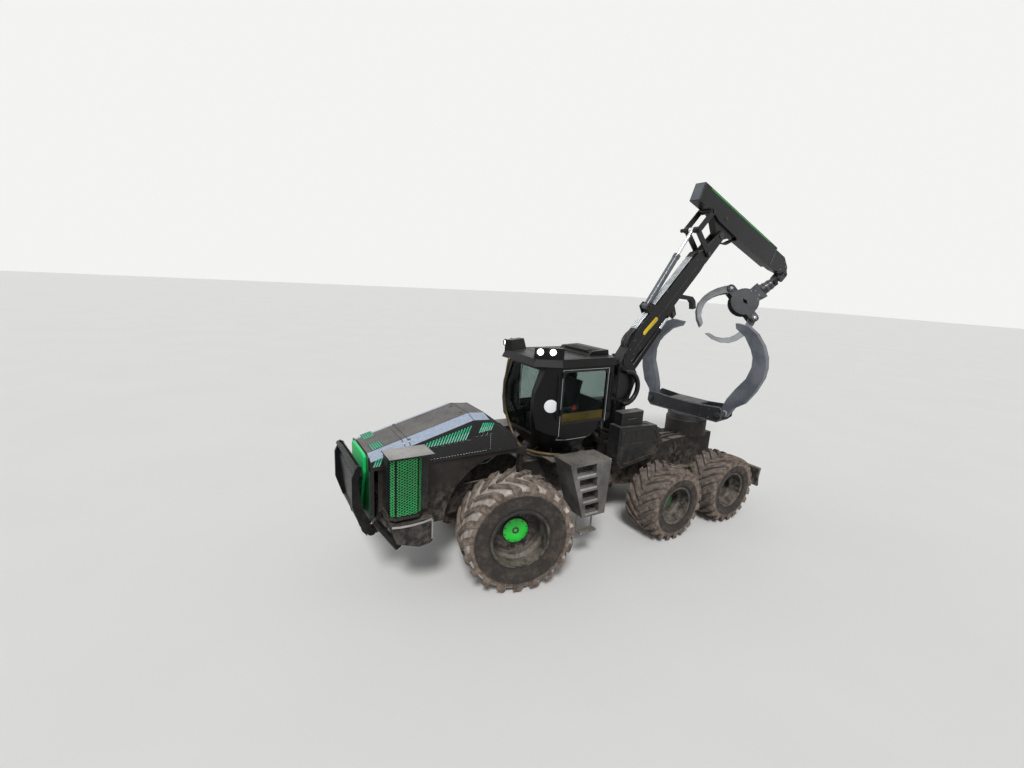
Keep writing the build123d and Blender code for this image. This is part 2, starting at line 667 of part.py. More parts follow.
def guard_blade():
    """Front stacking blade, folded up in front of the nose."""
    outline = [(-2150, 1110), (-2085, 1130), (-2130, 1300), (-2215, 1500), (-2250, 1850), (-2200, 2030),
               (-2260, 2062), (-2335, 1900), (-2335, 1500), (-2240, 1200)]
    cheeks = both_sides(side_prism(outline, GUARD_HALF - 45, GUARD_HALF))
    skin = [(-2215, 1500), (-2250, 1850), (-2205, 2030), (-2226, 2042), (-2282, 1850), (-2248, 1500),
            (-2192, 1190), (-2166, 1185)]
    plate = side_prism(skin, -GUARD_HALF + 45, GUARD_HALF - 45)
    arms = both_sides(joined(
        side_prism([(GUARD_PIVOT_Y - 60, GUARD_PIVOT_Z - 55), (GUARD_PIVOT_Y - 60, GUARD_PIVOT_Z + 55),
                    (-2150, 1190), (-2195, 1175), (-2165, 1000)], 308, 348),
        rod_x(GUARD_PIVOT_Y, GUARD_PIVOT_Z, 62, 308, 348),
        rod_x(GUARD_PIVOT_Y, GUARD_PIVOT_Z, 30, 230, 348)))
    tubes = [rod_x(-2268, 2005, 36, -GUARD_HALF - 22, GUARD_HALF + 22),
             rod_x(-2182, 1182, 42, -GUARD_HALF, GUARD_HALF)]
    return joined(*cheeks, plate, *arms, *tubes)


# Rear frame, axles and blade

def rear_frame():
    side = [(2110, 940), (2480, 800), (3400, 640), (4650, 640), (REAR_FRAME_TAIL_Y, 780),
            (REAR_FRAME_TAIL_Y, REAR_DECK_Z), (4200, REAR_DECK_Z), (3300, 1380), (2110, 1380 - 200)]
    body = side_prism(side, -REAR_FRAME_HALF, REAR_FRAME_HALF)
    core = box(-REAR_FRAME_HALF + 40, REAR_FRAME_HALF - 40, 3150, 3900, 1000, 1700)
    tongue = joined(
        box(-110, 110, PIVOT_Y, 2300, PIVOT_LOWER_Z + 45, PIVOT_UPPER_Z - 45),
        rod_z(0, PIVOT_Y, 130, PIVOT_LOWER_Z + 45, PIVOT_UPPER_Z - 45),
        rod_z(0, PIVOT_Y, PIVOT_PIN_RADIUS, PIVOT_LOWER_Z - 60, PIVOT_UPPER_Z + 60),
    )
    base = joined(
        rod_z(0, COLUMN_Y, 280, 1200, COLUMN_BASE_Z - SEAT_GAP),
        rod_x(COLUMN_Y - 190, 1560, 95, -350, 350),
        rod_x(COLUMN_Y + 190, 1560, 95, -350, 350),
    )
    bunk_ring = rod_z(0, BUNK_Y, BUNK_RING_RADIUS, REAR_DECK_Z - 10, BUNK_RING_Z)
    pivots = [rod_x(BOGIE_Y, BOGIE_PIVOT_Z, 170, REAR_FRAME_HALF - 10, BOGIE_BEAM_IN)]
    ears = [side_prism([(5300, 820), (5300, 1000), (BLADE_PIVOT_Y + 300, 1000),
                        (BLADE_PIVOT_Y + 300, 820)], 150, 190)]
    return joined(joined(body) - [core], tongue, base, bunk_ring,
                  *[s for p in pivots for s in both_sides(p)])


def side_boxes():
    """Black tank and valve boxes on both flanks of the rear frame."""
    tank = side_prism([(2290, 2060), (3230, 2010), (3430, 1660), (3330, 1400), (2420, 1260),
                       (2290, 1400)], REAR_FRAME_HALF + 70, 640)
    foot = box(REAR_FRAME_HALF + 0.3, REAR_FRAME_HALF + 70, 2500, 3200, 1200, 1320)
    foot_low = box(REAR_FRAME_HALF + 0.3, 500, 2560, 3100, 1280, 1330)
    cap = box(REAR_FRAME_HALF + 90, 560, 2380, 2920, 2010, 2290)
    return joined(tank, foot, foot_low, cap)


def bogie_beam():
    """Left walking beam with the spindles of both rear wheels."""
    z = REAR_TYRE_RADIUS
    x0 = BOGIE_BEAM_IN
    x1 = BOGIE_BEAM_OUT
    outline = [(REAR_AXLE_1_Y - 190, z - 130), (REAR_AXLE_1_Y + 120, z - 200),
               (REAR_AXLE_2_Y - 120, z - 200), (REAR_AXLE_2_Y + 190, z - 130),
               (REAR_AXLE_2_Y + 190, z + 110), (REAR_AXLE_2_Y + 60, z + 190),
               (BOGIE_Y + 300, z + 280), (BOGIE_Y - 300, z + 280),
               (REAR_AXLE_1_Y - 60, z + 190), (REAR_AXLE_1_Y - 190, z + 110)]
    beam = side_prism(outline, x0, x1)
    parts = [beam]
    start = WHEEL_X + spindle_end() - 142 - 5
    for y in (REAR_AXLE_1_Y, REAR_AXLE_2_Y):
        parts.append(rod_x(y, z, HUB_REAR_RADIUS - 15, x1 - 5, start))
        parts.append(rod_x(y, z, SPINDLE_RADIUS, x1, WHEEL_X + spindle_end()))
    return joined(*parts)


def rear_blade():
    y = BLADE_Y
    curve = [(y, BLADE_LOW_Z), (y + 60, BLADE_LOW_Z), (y + 30, BLADE_LOW_Z + 170),
             (y + 60, BLADE_TOP_Z), (y - 30, BLADE_TOP_Z), (y - 10, BLADE_LOW_Z + 170)]
    plate = side_prism(curve, -BLADE_HALF, BLADE_HALF)
    arm = joined(
        side_prism([(BLADE_PIVOT_Y + 30, BLADE_PIVOT_Z - 60), (BLADE_PIVOT_Y + 30, BLADE_PIVOT_Z + 60),
                    (y, BLADE_TOP_Z - 60), (y, BLADE_LOW_Z + 60)],
                   REAR_FRAME_HALF + 12, REAR_FRAME_HALF + 62),
        rod_x(BLADE_PIVOT_Y, BLADE_PIVOT_Z, 75, REAR_FRAME_HALF + 12, REAR_FRAME_HALF + 62),
    )
    return joined(plate, *both_sides(arm))


def blade_pins():
    return [solid for solid in both_sides(
        rod_x(BLADE_PIVOT_Y, BLADE_PIVOT_Z, 35, REAR_FRAME_HALF - 5, REAR_FRAME_HALF + 68))]


# Cab

def cab_plan(inset):
    """Plan outline of the cab, narrow in front with bevelled corner panels."""
    front = CAB_Y - CAB_FRONT_REACH + inset
    rear = CAB_Y + CAB_REAR_REACH - inset
    k = inset * 0.6
    left = [
        (CAB_FRONT_HALF - k, front), (CAB_HALF - inset, CAB_Y - CAB_FRONT_BEVEL + k),
        (CAB_HALF - inset, CAB_Y + CAB_REAR_BEVEL - k), (CAB_REAR_HALF - k, rear),
    ]
    return left + [(-x, y) for x, y in reversed(left)]


def cab_side(inset):
    """Side outline of the cab with its bowed front."""
    front = CAB_Y - CAB_FRONT_REACH + inset
    rear = CAB_Y + CAB_REAR_REACH + 10
    return [
        (front + 180, CAB_ROOF_LOW_Z), (front + 30, 2800), (front + 20, 2500), (front + 80, 2200),
        (front + 250, CAB_FLOOR_Z + inset), (rear, CAB_FLOOR_Z + inset), (rear, CAB_ROOF_LOW_Z),
    ]


def cab_volume(inset):
    block = joined(plan_prism(cab_plan(inset), CAB_FLOOR_Z - 1, CAB_ROOF_LOW_Z)) & side_prism(
        cab_side(inset), -CAB_HALF - 10, CAB_HALF + 10)
    low = 520 - inset
    high = 1000 - inset
    slope = (high - low) / (CAB_WAIST_Z - CAB_FLOOR_Z)
    top_r = low + slope * (CAB_ROOF_LOW_Z - CAB_FLOOR_Z + 10)
    cone = Solid.make_cone(low, top_r, CAB_ROOF_LOW_Z - CAB_FLOOR_Z + 10,
                           Plane(origin=(0, CAB_Y, CAB_FLOOR_Z)))
    return block & cone


def door_zone(grow):
    return box(300, CAB_HALF + 40, DOOR_FRONT_Y - grow, DOOR_REAR_Y + grow,
               DOOR_LOW_Z - grow, DOOR_TOP_Z + grow)


def cab_windows():
    """Openings of the windscreen, the corner-free sides and the rear window."""
    front = CAB_Y - CAB_FRONT_REACH
    rear = CAB_Y + CAB_REAR_REACH
    half = CAB_FRONT_HALF - 65
    return {
        "windscreen": front_prism(
            [(-half, 3160), (half, 3160), (half, 2450), (half - 60, 2080), (60 - half, 2080),
             (-half, 2450)], front - 20, front + 330),
        "side_right": side_prism(
            [(DOOR_FRONT_Y + 60, 2400), (DOOR_REAR_Y - 60, 2400), (DOOR_REAR_Y - 60, 3140),
             (DOOR_FRONT_Y + 60, 3140)], -CAB_HALF - 20, -CAB_HALF + 120),
        "rear": front_prism([(-430, 2500), (430, 2500), (430, 3140), (-430, 3140)],
                            rear - 110, rear + 30),
    }


def cab_shell(outer, inner):
    shell = outer - inner
    cuts = list(cab_windows().values())
    shaft = rod_z(0, CAB_Y, 380, CAB_RING_Z + SEAT_GAP, CAB_FLOOR_Z + 5)
    flange = rod_z(0, CAB_Y, 500, CAB_RING_Z + SEAT_GAP, CAB_RING_Z + 40)
    hinges = []
    for z in HINGE_HEIGHTS:
        hinges.append(rod_z(HINGE_X, HINGE_Y, HINGE_PIN, z, z + 100))
        hinges.append(box(CAB_HALF - 10, HINGE_X + 12, HINGE_Y - 34, DOOR_FRONT_Y - CAB_SEAM, z, z + 28))
        hinges.append(box(CAB_HALF + 2, HINGE_X + 12, HINGE_Y - 14, HINGE_Y + 6, z, z + 28))
    return joined((shell - cuts) - [door_zone(CAB_SEAM)], shaft, flange, *hinges)


def door_parts(outer, inner):
    panel = (outer - inner) & door_zone(0)
    front = DOOR_FRONT_Y + DOOR_FRAME
    rear = DOOR_REAR_Y - DOOR_FRAME
    top = DOOR_TOP_Z - DOOR_FRAME
    window = side_prism([(front, 2300), (rear, 2300), (rear, top - 50), (rear - 60, top),
                         (front + 60, top), (front, top - 50)], CAB_HALF - 200, CAB_HALF + 60)
    knuckles = []
    for z in HINGE_HEIGHTS:
        knuckles.append(rod_z(HINGE_X, HINGE_Y, HINGE_PIN + 7, z + 29, z + 100))
        knuckles.append(box(CAB_HALF - 2, HINGE_X + 8, DOOR_FRONT_Y + 1, DOOR_FRONT_Y + DOOR_FRAME,
                            z + 29, z + 100))
    bores = [rod_z(HINGE_X, HINGE_Y, HINGE_PIN + SHAFT_FIT, z - 10, z + 120) for z in HINGE_HEIGHTS]
    frame = joined(panel - [window], *knuckles) - bores
    x = CAB_HALF - CAB_WALL / 2
    pane = panel & window & box(x - GLASS_THICK / 2, x + GLASS_THICK / 2, 0, 3000, 0, 4000)
    return frame, pane


def cab_glass(outer, inner):
    """Fixed panes: the wall of the cab inside each opening, thinned."""
    middle = cab_volume(CAB_WALL / 2 - GLASS_THICK / 2) - cab_volume(CAB_WALL / 2 + GLASS_THICK / 2)
    panes = []
    for cut in cab_windows().values():
        panes += (middle & cut).solids()
    return panes


def cab_roof():
    """Roof shell with a raised rear box and a lamp pod over each front corner."""
    brim = [(x * 1.05, CAB_Y + (y - CAB_Y) * 1.03) for x, y in cab_plan(0)]
    crown = [(x * 0.97, CAB_Y + (y - CAB_Y) * 0.97) for x, y in cab_plan(0)]
    low = face_of([(x, y, CAB_ROOF_LOW_Z + 0.3) for x, y in brim])
    top = face_of([(x, y, CAB_ROOF_TOP_Z) for x, y in crown])
    slab = Solid.make_loft([low.outer_wire(), top.outer_wire()], True)
    rear = CAB_Y + CAB_REAR_REACH
    rear_box = side_prism([(rear - 500, CAB_ROOF_TOP_Z - 10), (rear - 420, CAB_ROOF_TOP_Z + 70),
                           (rear - 60, CAB_ROOF_TOP_Z + 90), (rear - 40, CAB_ROOF_TOP_Z - 10)],
                          -420, 420)
    face = [corner_point(-0.02, -20), corner_point(1.05, -20)]
    pod_low = face + [corner_point(1.05, -190), corner_point(-0.02, -190)]
    pod_top = face + [corner_point(1.0, -130), corner_point(0.05, -130)]
    low = face_of([(x, y, CAB_ROOF_TOP_Z - 30) for x, y in pod_low])
    top = face_of([(x, y, CAB_ROOF_TOP_Z + POD_HEIGHT) for x, y in pod_top])
    pod = Solid.make_loft([low.outer_wire(), top.outer_wire()], True)
    return joined(slab, rear_box, *both_sides(pod))


def corner_point(share, out):
    """A plan point along the left front corner of the cab, and off it to the outside."""
    start = Vector(CAB_FRONT_HALF, CAB_Y - CAB_FRONT_REACH)
    way = Vector(CAB_HALF, CAB_Y - CAB_FRONT_BEVEL) - start
    off = Vector(way.Y, -way.X).normalized() * out
    place = start + way * share + off
    return (place.X, place.Y)


def roof_lamps():
    z = CAB_ROOF_TOP_Z + POD_HEIGHT - 58
    lamps = []
    for share in (0.17, 0.62):
        near = corner_point(share, 30)
        far = corner_point(share, SEAT_GAP - 20)
        lamps.append(rod_between((*far, z), (*near, z), 48))
    return [lamp for item in lamps for lamp in both_sides(item)]


def seat():
    y = CAB_Y + 120
    base = box(-170, 170, y - 180, y + 180, CAB_FLOOR_Z + CAB_WALL + 0.3, 2130)
    cushion = side_prism([(y - 270, 2130), (y + 230, 2130), (y + 230, 2240), (y - 240, 2270),
                          (y - 270, 2240)], -240, 240)
    back = side_prism([(y + 150, 2230), (y + 270, 2230), (y + 350, 2900), (y + 260, 2920)], -220, 220)
    rests = both_sides(box(250, 330, y - 230, y + 200, 2380, 2450))
    posts = both_sides(box(230, 300, y + 60, y + 130, 2200, 2390))
    return joined(base, cushion, back, *rests, *posts)


def steering_wheel(place):
    rim_disc = Solid.make_cylinder(165, 26, place)
    opening = Solid.make_cylinder(138, 60, place.offset(-15))
    return joined(rim_disc) - [opening]


def console():
    """Dash with the steering wheel's column in front of the seat."""
    front = CAB_Y - CAB_FRONT_REACH
    y = front + 330
    box_low = box(-120, 120, y - 20, y + 90, CAB_FLOOR_Z + CAB_WALL + 0.3, 2300)
    wheel = steering_wheel(Plane(origin=(0, y + 150, 2420), z_dir=(0, 0.5, 1)))
    stem = rod_between((0, y + 60, 2260), (0, y + 156, 2430), 28)
    spokes = rod_between((-150, y + 156, 2432), (150, y + 156, 2432), 10)
    return joined(box_low, wheel, stem, spokes)


# Crane

BOOM_PIVOT = (COLUMN_Y, BOOM_PIVOT_Z)
KNEE = polar(BOOM_PIVOT, BOOM_ANGLE, BOOM_LENGTH)
ROCKER_FOOT = polar(KNEE, BOOM_ANGLE, -ROCKER_SETBACK)
ROCKER_TOP = polar(ROCKER_FOOT, ROCKER_ANGLE, ROCKER_LENGTH)
LINK_END = polar(KNEE, ROCKER_ANGLE, ROCKER_LENGTH)
LIFT_BASE = (BOOM_PIVOT[0] + LIFT_BASE_DY, BOOM_PIVOT[1] + LIFT_BASE_DZ)
LIFT_EYE = in_line(BOOM_PIVOT, BOOM_ANGLE, LIFT_EYE_ALONG, LIFT_EYE_SIDE)
JIB_BASE = in_line(BOOM_PIVOT, BOOM_ANGLE, JIB_BASE_ALONG, JIB_BASE_SIDE)
TIP = in_line(KNEE, STICK_ANGLE, TIP_U, TIP_N)


def on_boom(along, side):
    return in_line(BOOM_PIVOT, BOOM_ANGLE, along, side)


def on_stick(along, side):
    return in_line(KNEE, STICK_ANGLE, along, side)


def column():
    """Turning column with two cheek plates that carry the boom and the lift cylinder."""
    head = [(COLUMN_Y - 160, 2350), (COLUMN_Y + 150, 2350), (LIFT_BASE[0] + 90, LIFT_BASE[1] - 90),
            (LIFT_BASE[0] + 90, LIFT_BASE[1] + 60), (COLUMN_Y + 110, BOOM_PIVOT_Z + 40),
            (COLUMN_Y + 60, BOOM_PIVOT_Z + 110), (COLUMN_Y - 80, BOOM_PIVOT_Z + 110),
            (COLUMN_Y - 150, BOOM_PIVOT_Z)]
    inner = BOOM_HALF + PLATE_GAP
    cheek = joined(side_prism(head, inner, inner + 38),
                   rod_x(BOOM_PIVOT[0], BOOM_PIVOT[1], 90, inner, inner + 55),
                   rod_x(LIFT_BASE[0], LIFT_BASE[1], 65, inner, inner + 50))
    tube = rod_z(0, COLUMN_Y, COLUMN_RADIUS, COLUMN_BASE_Z, 2420)
    flange = rod_z(0, COLUMN_Y, 270, COLUMN_BASE_Z, COLUMN_BASE_Z + 60)
    cap = box(-inner - 38, inner + 38, COLUMN_Y - 160, COLUMN_Y + 150, 2350, 2440)
    lift_pin = rod_x(LIFT_BASE[0], LIFT_BASE[1], CRANE_PIN, -inner - 20, inner + 20)
    boom_pin = rod_x(BOOM_PIVOT[0], BOOM_PIVOT[1], CRANE_PIN + 15, -inner - 20, inner + 20)
    return joined(*both_sides(cheek), tube, flange, cap, lift_pin, boom_pin, air_hose())


def air_hose():
    """Thick hose that leaves the left cheek, bends round to the rear and comes back to the tube."""
    bend = Solid.make_torus(HOSE_BEND, HOSE_RADIUS,
                            Plane(origin=(HOSE_X, COLUMN_Y - 40, HOSE_Z), z_dir=(1, 0, 0)))
    half = box(HOSE_X - 80, HOSE_X + 80, COLUMN_Y - 40, COLUMN_Y + 500, HOSE_Z - 500, HOSE_Z + 500)
    stubs = []
    for z in (HOSE_Z - HOSE_BEND, HOSE_Z + HOSE_BEND):
        stubs.append(rod_x(COLUMN_Y - 40, z, HOSE_RADIUS, 100, HOSE_X))
        stubs.append(Pos(HOSE_X, COLUMN_Y - 40, z) * Solid.make_sphere(HOSE_RADIUS))
    return joined(joined(bend) & half, *stubs)


def boom():
    root = on_boom(0, 0)
    outline = [on_boom(-20, -110), on_boom(500, BOOM_LOW - 30), on_boom(LIFT_EYE_ALONG, BOOM_LOW - 10),
               on_boom(BOOM_FORK_START - 200, BOOM_LOW), on_boom(BOOM_FORK_START + 80, -90),
               on_boom(BOOM_FORK_START + 80, 170), on_boom(BOOM_FORK_START - 200, BOOM_HIGH),
               on_boom(600, BOOM_HIGH), on_boom(150, 130), on_boom(-20, 110)]
    body = joined(side_prism(outline, -BOOM_HALF, BOOM_HALF), rod_x(root[0], root[1], 110,
                                                                    -BOOM_HALF, BOOM_HALF))
    fork = [on_boom(BOOM_FORK_START, -110), on_boom(BOOM_LENGTH, -95), on_boom(BOOM_LENGTH + 80, -50),
            on_boom(BOOM_LENGTH + 95, 20), on_boom(BOOM_LENGTH + 50, 90),
            on_boom(BOOM_FORK_START + 200, 120), on_boom(BOOM_FORK_START, 170)]
    fork_plates = both_sides(side_prism(fork, BOOM_HALF - FORK_PLATE, BOOM_HALF))
    clevis_low = [on_boom(LIFT_EYE_ALONG - 130, BOOM_LOW + 20), on_boom(LIFT_EYE_ALONG - 60,
                  LIFT_EYE_SIDE - 70), on_boom(LIFT_EYE_ALONG + 60, LIFT_EYE_SIDE - 70),
                  on_boom(LIFT_EYE_ALONG + 150, BOOM_LOW + 20)]
    clevis_top = [on_boom(JIB_BASE_ALONG - 110, BOOM_HIGH - 20), on_boom(JIB_BASE_ALONG - 60,
                  JIB_BASE_SIDE + 60), on_boom(JIB_BASE_ALONG + 60, JIB_BASE_SIDE + 60),
                  on_boom(JIB_BASE_ALONG + 140, BOOM_HIGH - 20)]
    plates = []
    for outline_points in (clevis_low, clevis_top):
        plates += both_sides(side_prism(outline_points, 78, 102))
    jib_pin = rod_x(JIB_BASE[0], JIB_BASE[1], CRANE_PIN - 8, -110, 110)
    knee_pin = rod_x(KNEE[0], KNEE[1], CRANE_PIN + 7, -BOOM_HALF, BOOM_HALF)
    foot_pin = rod_x(ROCKER_FOOT[0], ROCKER_FOOT[1], CRANE_PIN, -150, 150)
    eye_bosses = both_sides(rod_x(LIFT_EYE[0], LIFT_EYE[1], 52, 78, 112))
    arm = [on_boom(1740, BOOM_LOW + 10), on_boom(1860, BOOM_LOW + 10), on_boom(2110, -440),
           on_boom(2120, -560), on_boom(2040, -700), on_boom(1960, -650), on_boom(2030, -540),
           on_boom(2020, -450), on_boom(1800, -180)]
    lamp_arm = side_prism(arm, -48, 48)
    bore = rod_x(root[0], root[1], CRANE_PIN + 15 + SHAFT_FIT, -300, 300)
    return joined(body, *fork_plates, *plates, jib_pin, knee_pin, foot_pin, *eye_bosses,
                  lamp_arm) - [bore]


def boom_pipes():
    """Hard pipes along the top of the boom, carried by two saddles."""
    rows = [(-56, 24, 16), (-20, 24, 16), (20, 24, 16), (56, 24, 16)]
    parts = []
    for x, up, radius in rows:
        low = on_boom(640, BOOM_HIGH + up)
        high = on_boom(BOOM_FORK_START - 220, BOOM_HIGH + up)
        parts.append(rod_between((x, low[0], low[1]), (x, high[0], high[1]), radius))
    for along in (760, 1600, BOOM_FORK_START - 320):
        corners = [on_boom(along, BOOM_HIGH + 0.3), on_boom(along + 45, BOOM_HIGH + 0.3),
                   on_boom(along + 45, BOOM_HIGH + 34), on_boom(along, BOOM_HIGH + 34)]
        parts.append(side_prism(corners, -75, 75))
    return joined(*parts)


def cylinder_barrel(base, eye, length, radius, width):
    """Barrel from its base eye towards the rod eye, as (y, z) points."""
    way = Vector(0, eye[0] - base[0], eye[1] - base[1]).normalized()
    start = Vector(0, base[0], base[1])
    pipe = Solid.make_cylinder(radius, length - 40, Plane(origin=start + way * 40, z_dir=way))
    gland = Solid.make_cylinder(radius + 8, 70, Plane(origin=start + way * (length - 70), z_dir=way))
    hole = Solid.make_cylinder(radius * 0.55 + 0.6, length, Plane(origin=start + way * 130, z_dir=way))
    eye_boss = rod_x(base[0], base[1], radius * 0.95, -width, width)
    return joined(pipe, gland, eye_boss) - [hole]


def cylinder_rod(base, eye, start, radius, width, eye_radius):
    """Rod from inside the barrel to its eye."""
    way = Vector(0, eye[0] - base[0], eye[1] - base[1]).normalized()
    total = Vector(0, eye[0] - base[0], eye[1] - base[1]).length
    origin = Vector(0, base[0], base[1])
    stem = Solid.make_cylinder(radius, total - start - 20, Plane(origin=origin + way * start, z_dir=way))
    return joined(stem, rod_x(eye[0], eye[1], eye_radius, -width, width))


def bored_x(shape, point, radius):
    return shape - [rod_x(point[0], point[1], radius, -400, 400)]


LIFT_RADIUS = 75
JIB_RADIUS = 62
LIFT_BARREL_LENGTH = 1120
JIB_BARREL_LENGTH = 1200


def lift_barrel():
    shape = cylinder_barrel(LIFT_BASE, LIFT_EYE, LIFT_BARREL_LENGTH, LIFT_RADIUS, 70)
    return bored_x(shape, LIFT_BASE, CRANE_PIN + SHAFT_FIT)


def lift_rod():
    return cylinder_rod(LIFT_BASE, LIFT_EYE, 600, LIFT_RADIUS * 0.55, 60, 54)


def jib_barrel():
    shape = cylinder_barrel(JIB_BASE, ROCKER_TOP, JIB_BARREL_LENGTH, JIB_RADIUS, 68)
    return bored_x(shape, JIB_BASE, CRANE_PIN - 8 + SHAFT_FIT)


def jib_rod():
    return cylinder_rod(JIB_BASE, ROCKER_TOP, 700, JIB_RADIUS * 0.55, 50, 52)


def link_bar(a, b, half_width):
    """Flat bar outline between two (y, z) points with rounded ends."""
    angle = math.degrees(math.atan2(b[1] - a[1], b[0] - a[0]))
    return (arc_points(a, half_width, angle + 90, angle + 270, 6)
            + arc_points(b, half_width, angle - 90, angle + 90, 6))


def rocker():
    """Rocker plates outside the boom fork, with the cross tube that takes the jib rod."""
    x0 = BOOM_HALF + PLATE_GAP
    bar = side_prism(link_bar(ROCKER_FOOT, ROCKER_TOP, 62), x0, x0 + LINK_PLATE)
    bores = rod_x(ROCKER_FOOT[0], ROCKER_FOOT[1], CRANE_PIN + SHAFT_FIT, 0, 400)
    side = joined(joined(bar) - [bores], rod_x(ROCKER_TOP[0], ROCKER_TOP[1], 60, 60, x0 + LINK_PLATE))
    pin = rod_x(ROCKER_TOP[0], ROCKER_TOP[1], CRANE_PIN, -260, x0 + 2 * LINK_PLATE + PLATE_GAP + 10)
    return joined(*both_sides(side), pin) - [rod_x(ROCKER_TOP[0], ROCKER_TOP[1], 70, -56, 56)]


def link():
    """Link plates from the rocker's pin to the stick's bracket."""
    x0 = BOOM_HALF + 2 * PLATE_GAP + LINK_PLATE
    bar = side_prism(link_bar(ROCKER_TOP, LINK_END, 56), x0, x0 + LINK_PLATE)
    bore = [rod_x(p[0], p[1], CRANE_PIN + SHAFT_FIT, 0, 400) for p in (ROCKER_TOP, LINK_END)]
    return [s for part in both_sides(joined(bar) - bore) for s in part.solids()]


def slide_pad(tail, nose, low, high, half):
    """Thin wear pad between the sliding section and its box, in stick coordinates."""
    return side_prism([on_stick(tail, low), on_stick(nose, low), on_stick(nose, high),
                       on_stick(tail, high)], -half, half)


def stick():
    """Hollow box stick with its knee bracket, carrying the sliding extension."""
    outline = [on_stick(STICK_TAIL, STICK_MID), on_stick(-430, STICK_MID), on_stick(-250, STICK_MID - 60),
               on_stick(450, STICK_LOW), on_stick(STICK_NOSE, STICK_LOW), on_stick(STICK_NOSE, STICK_TOP),
               on_stick(STICK_TAIL, STICK_TOP)]
    body = side_prism(outline, -STICK_HALF, STICK_HALF)
    inner = STICK_HALF - STICK_WALL
    channel = side_prism([on_stick(80, STICK_LOW + STICK_WALL), on_stick(STICK_NOSE + 5,
                          STICK_LOW + STICK_WALL), on_stick(STICK_NOSE + 5, STICK_TOP - STICK_WALL),
                          on_stick(80, STICK_TOP - STICK_WALL)], -inner, inner)
    knee_half = BOOM_HALF - FORK_PLATE - PLATE_GAP
    bracket = side_prism([on_stick(-460, STICK_MID + 30), on_stick(-70, -60), on_stick(70, -60),
                          on_stick(430, STICK_LOW + 10)], -knee_half, knee_half)
    knee = rod_x(KNEE[0], KNEE[1], 88, -knee_half, knee_half)
    link_boss = rod_x(LINK_END[0], LINK_END[1], 55, -STICK_HALF - 20, STICK_HALF + 20)
    link_pin = rod_x(LINK_END[0], LINK_END[1], CRANE_PIN, -BOOM_HALF - 2 * LINK_PLATE - 25,
                     BOOM_HALF + 2 * LINK_PLATE + 25)
    pad = SLIDE_GAP - SEAT_GAP
    roof = STICK_TOP - STICK_WALL
    floor = STICK_LOW + STICK_WALL
    mouth = [slide_pad(STICK_NOSE - 110, STICK_NOSE - 5, roof - pad, roof + 1, inner - 10),
             slide_pad(STICK_NOSE - 110, STICK_NOSE - 5, floor - 1, floor + pad, inner - 10)]
    solid = joined(joined(body) - [channel], joined(bracket) - [channel], knee, link_boss, link_pin,
                   *mouth)
    return solid - [rod_x(KNEE[0], KNEE[1], CRANE_PIN + 7 + SHAFT_FIT, -300, 300)]


def extension():
    """Sliding section in the stick, ending in the fork for the grapple."""
    low = STICK_LOW + STICK_WALL + SLIDE_GAP
    top = STICK_TOP - STICK_WALL - SLIDE_GAP
    half = STICK_HALF - STICK_WALL - SLIDE_GAP
    outline = [on_stick(EXTENSION_TAIL, low), on_stick(TIP_U - 430, low), on_stick(TIP_U - 150, low + 42),
               on_stick(TIP_U - 50, TIP_N - 55),
               on_stick(TIP_U + 60, TIP_N - 60), on_stick(TIP_U + 90, TIP_N + 20),
               on_stick(TIP_U, TIP_N + 190), on_stick(TIP_U - 230, top), on_stick(EXTENSION_TAIL, top)]
    pin = rod_x(TIP[0], TIP[1], 34, -130, 130)
    pad = SLIDE_GAP - SEAT_GAP
    pads = [slide_pad(EXTENSION_TAIL + 10, EXTENSION_TAIL + 130, n, n + pad, half - 12) for n in
            (low - pad, top)]
    side_pad = side_prism([on_stick(EXTENSION_TAIL + 10, low + 60), on_stick(EXTENSION_TAIL + 130, low + 60),
                           on_stick(EXTENSION_TAIL + 130, top - 60), on_stick(EXTENSION_TAIL + 10, top - 60)],
                          half - 1, half + pad)
    return joined(side_prism(outline, -half, half), pin, *pads, *both_sides(side_pad))


# Directions of the hanging tool
FORWARD = math.radians(GRAPPLE_FORWARD)
TILT = math.radians(GRAPPLE_TILT)
LINK_WAY = Vector(0, -math.sin(FORWARD), -math.cos(FORWARD))
CROSS_AXIS = Vector(0, math.cos(FORWARD), -math.sin(FORWARD))
TOOL_WAY = LINK_WAY * math.cos(TILT) + Vector(-1, 0, 0) * math.sin(TILT)
TIP_POINT = Vector(0, TIP[0], TIP[1])
CROSS_POINT = TIP_POINT + LINK_WAY * TIP_LINK
TOOL_SIDE = Vector(1, 0, 0) * math.cos(TILT) + LINK_WAY * math.sin(TILT)
TURN = math.radians(GRAPPLE_TURN)
JAW_SIDE = TOOL_SIDE * math.cos(TURN) + CROSS_AXIS * math.sin(TURN)
JAW_AXIS = TOOL_WAY.cross(JAW_SIDE)
GRAPPLE_POINT = CROSS_POINT + TOOL_WAY * GRAPPLE_DROP


def jaw_point(side, down, out=0):
    """A point of the grapple, by its own side, down and pin directions."""
    return GRAPPLE_POINT + JAW_SIDE * side + TOOL_WAY * down + JAW_AXIS * out


def jaw_prism(points, out_low, out_high):
    face = Face(Wire.make_polygon([jaw_point(s, d, out_low) for s, d in points], close=True))
    return Solid.extrude(face, JAW_AXIS * (out_high - out_low))


def jaw_rod(side, down, radius, out_low, out_high):
    return Solid.make_cylinder(radius, out_high - out_low,
                               Plane(origin=jaw_point(side, down, out_low), z_dir=JAW_AXIS))


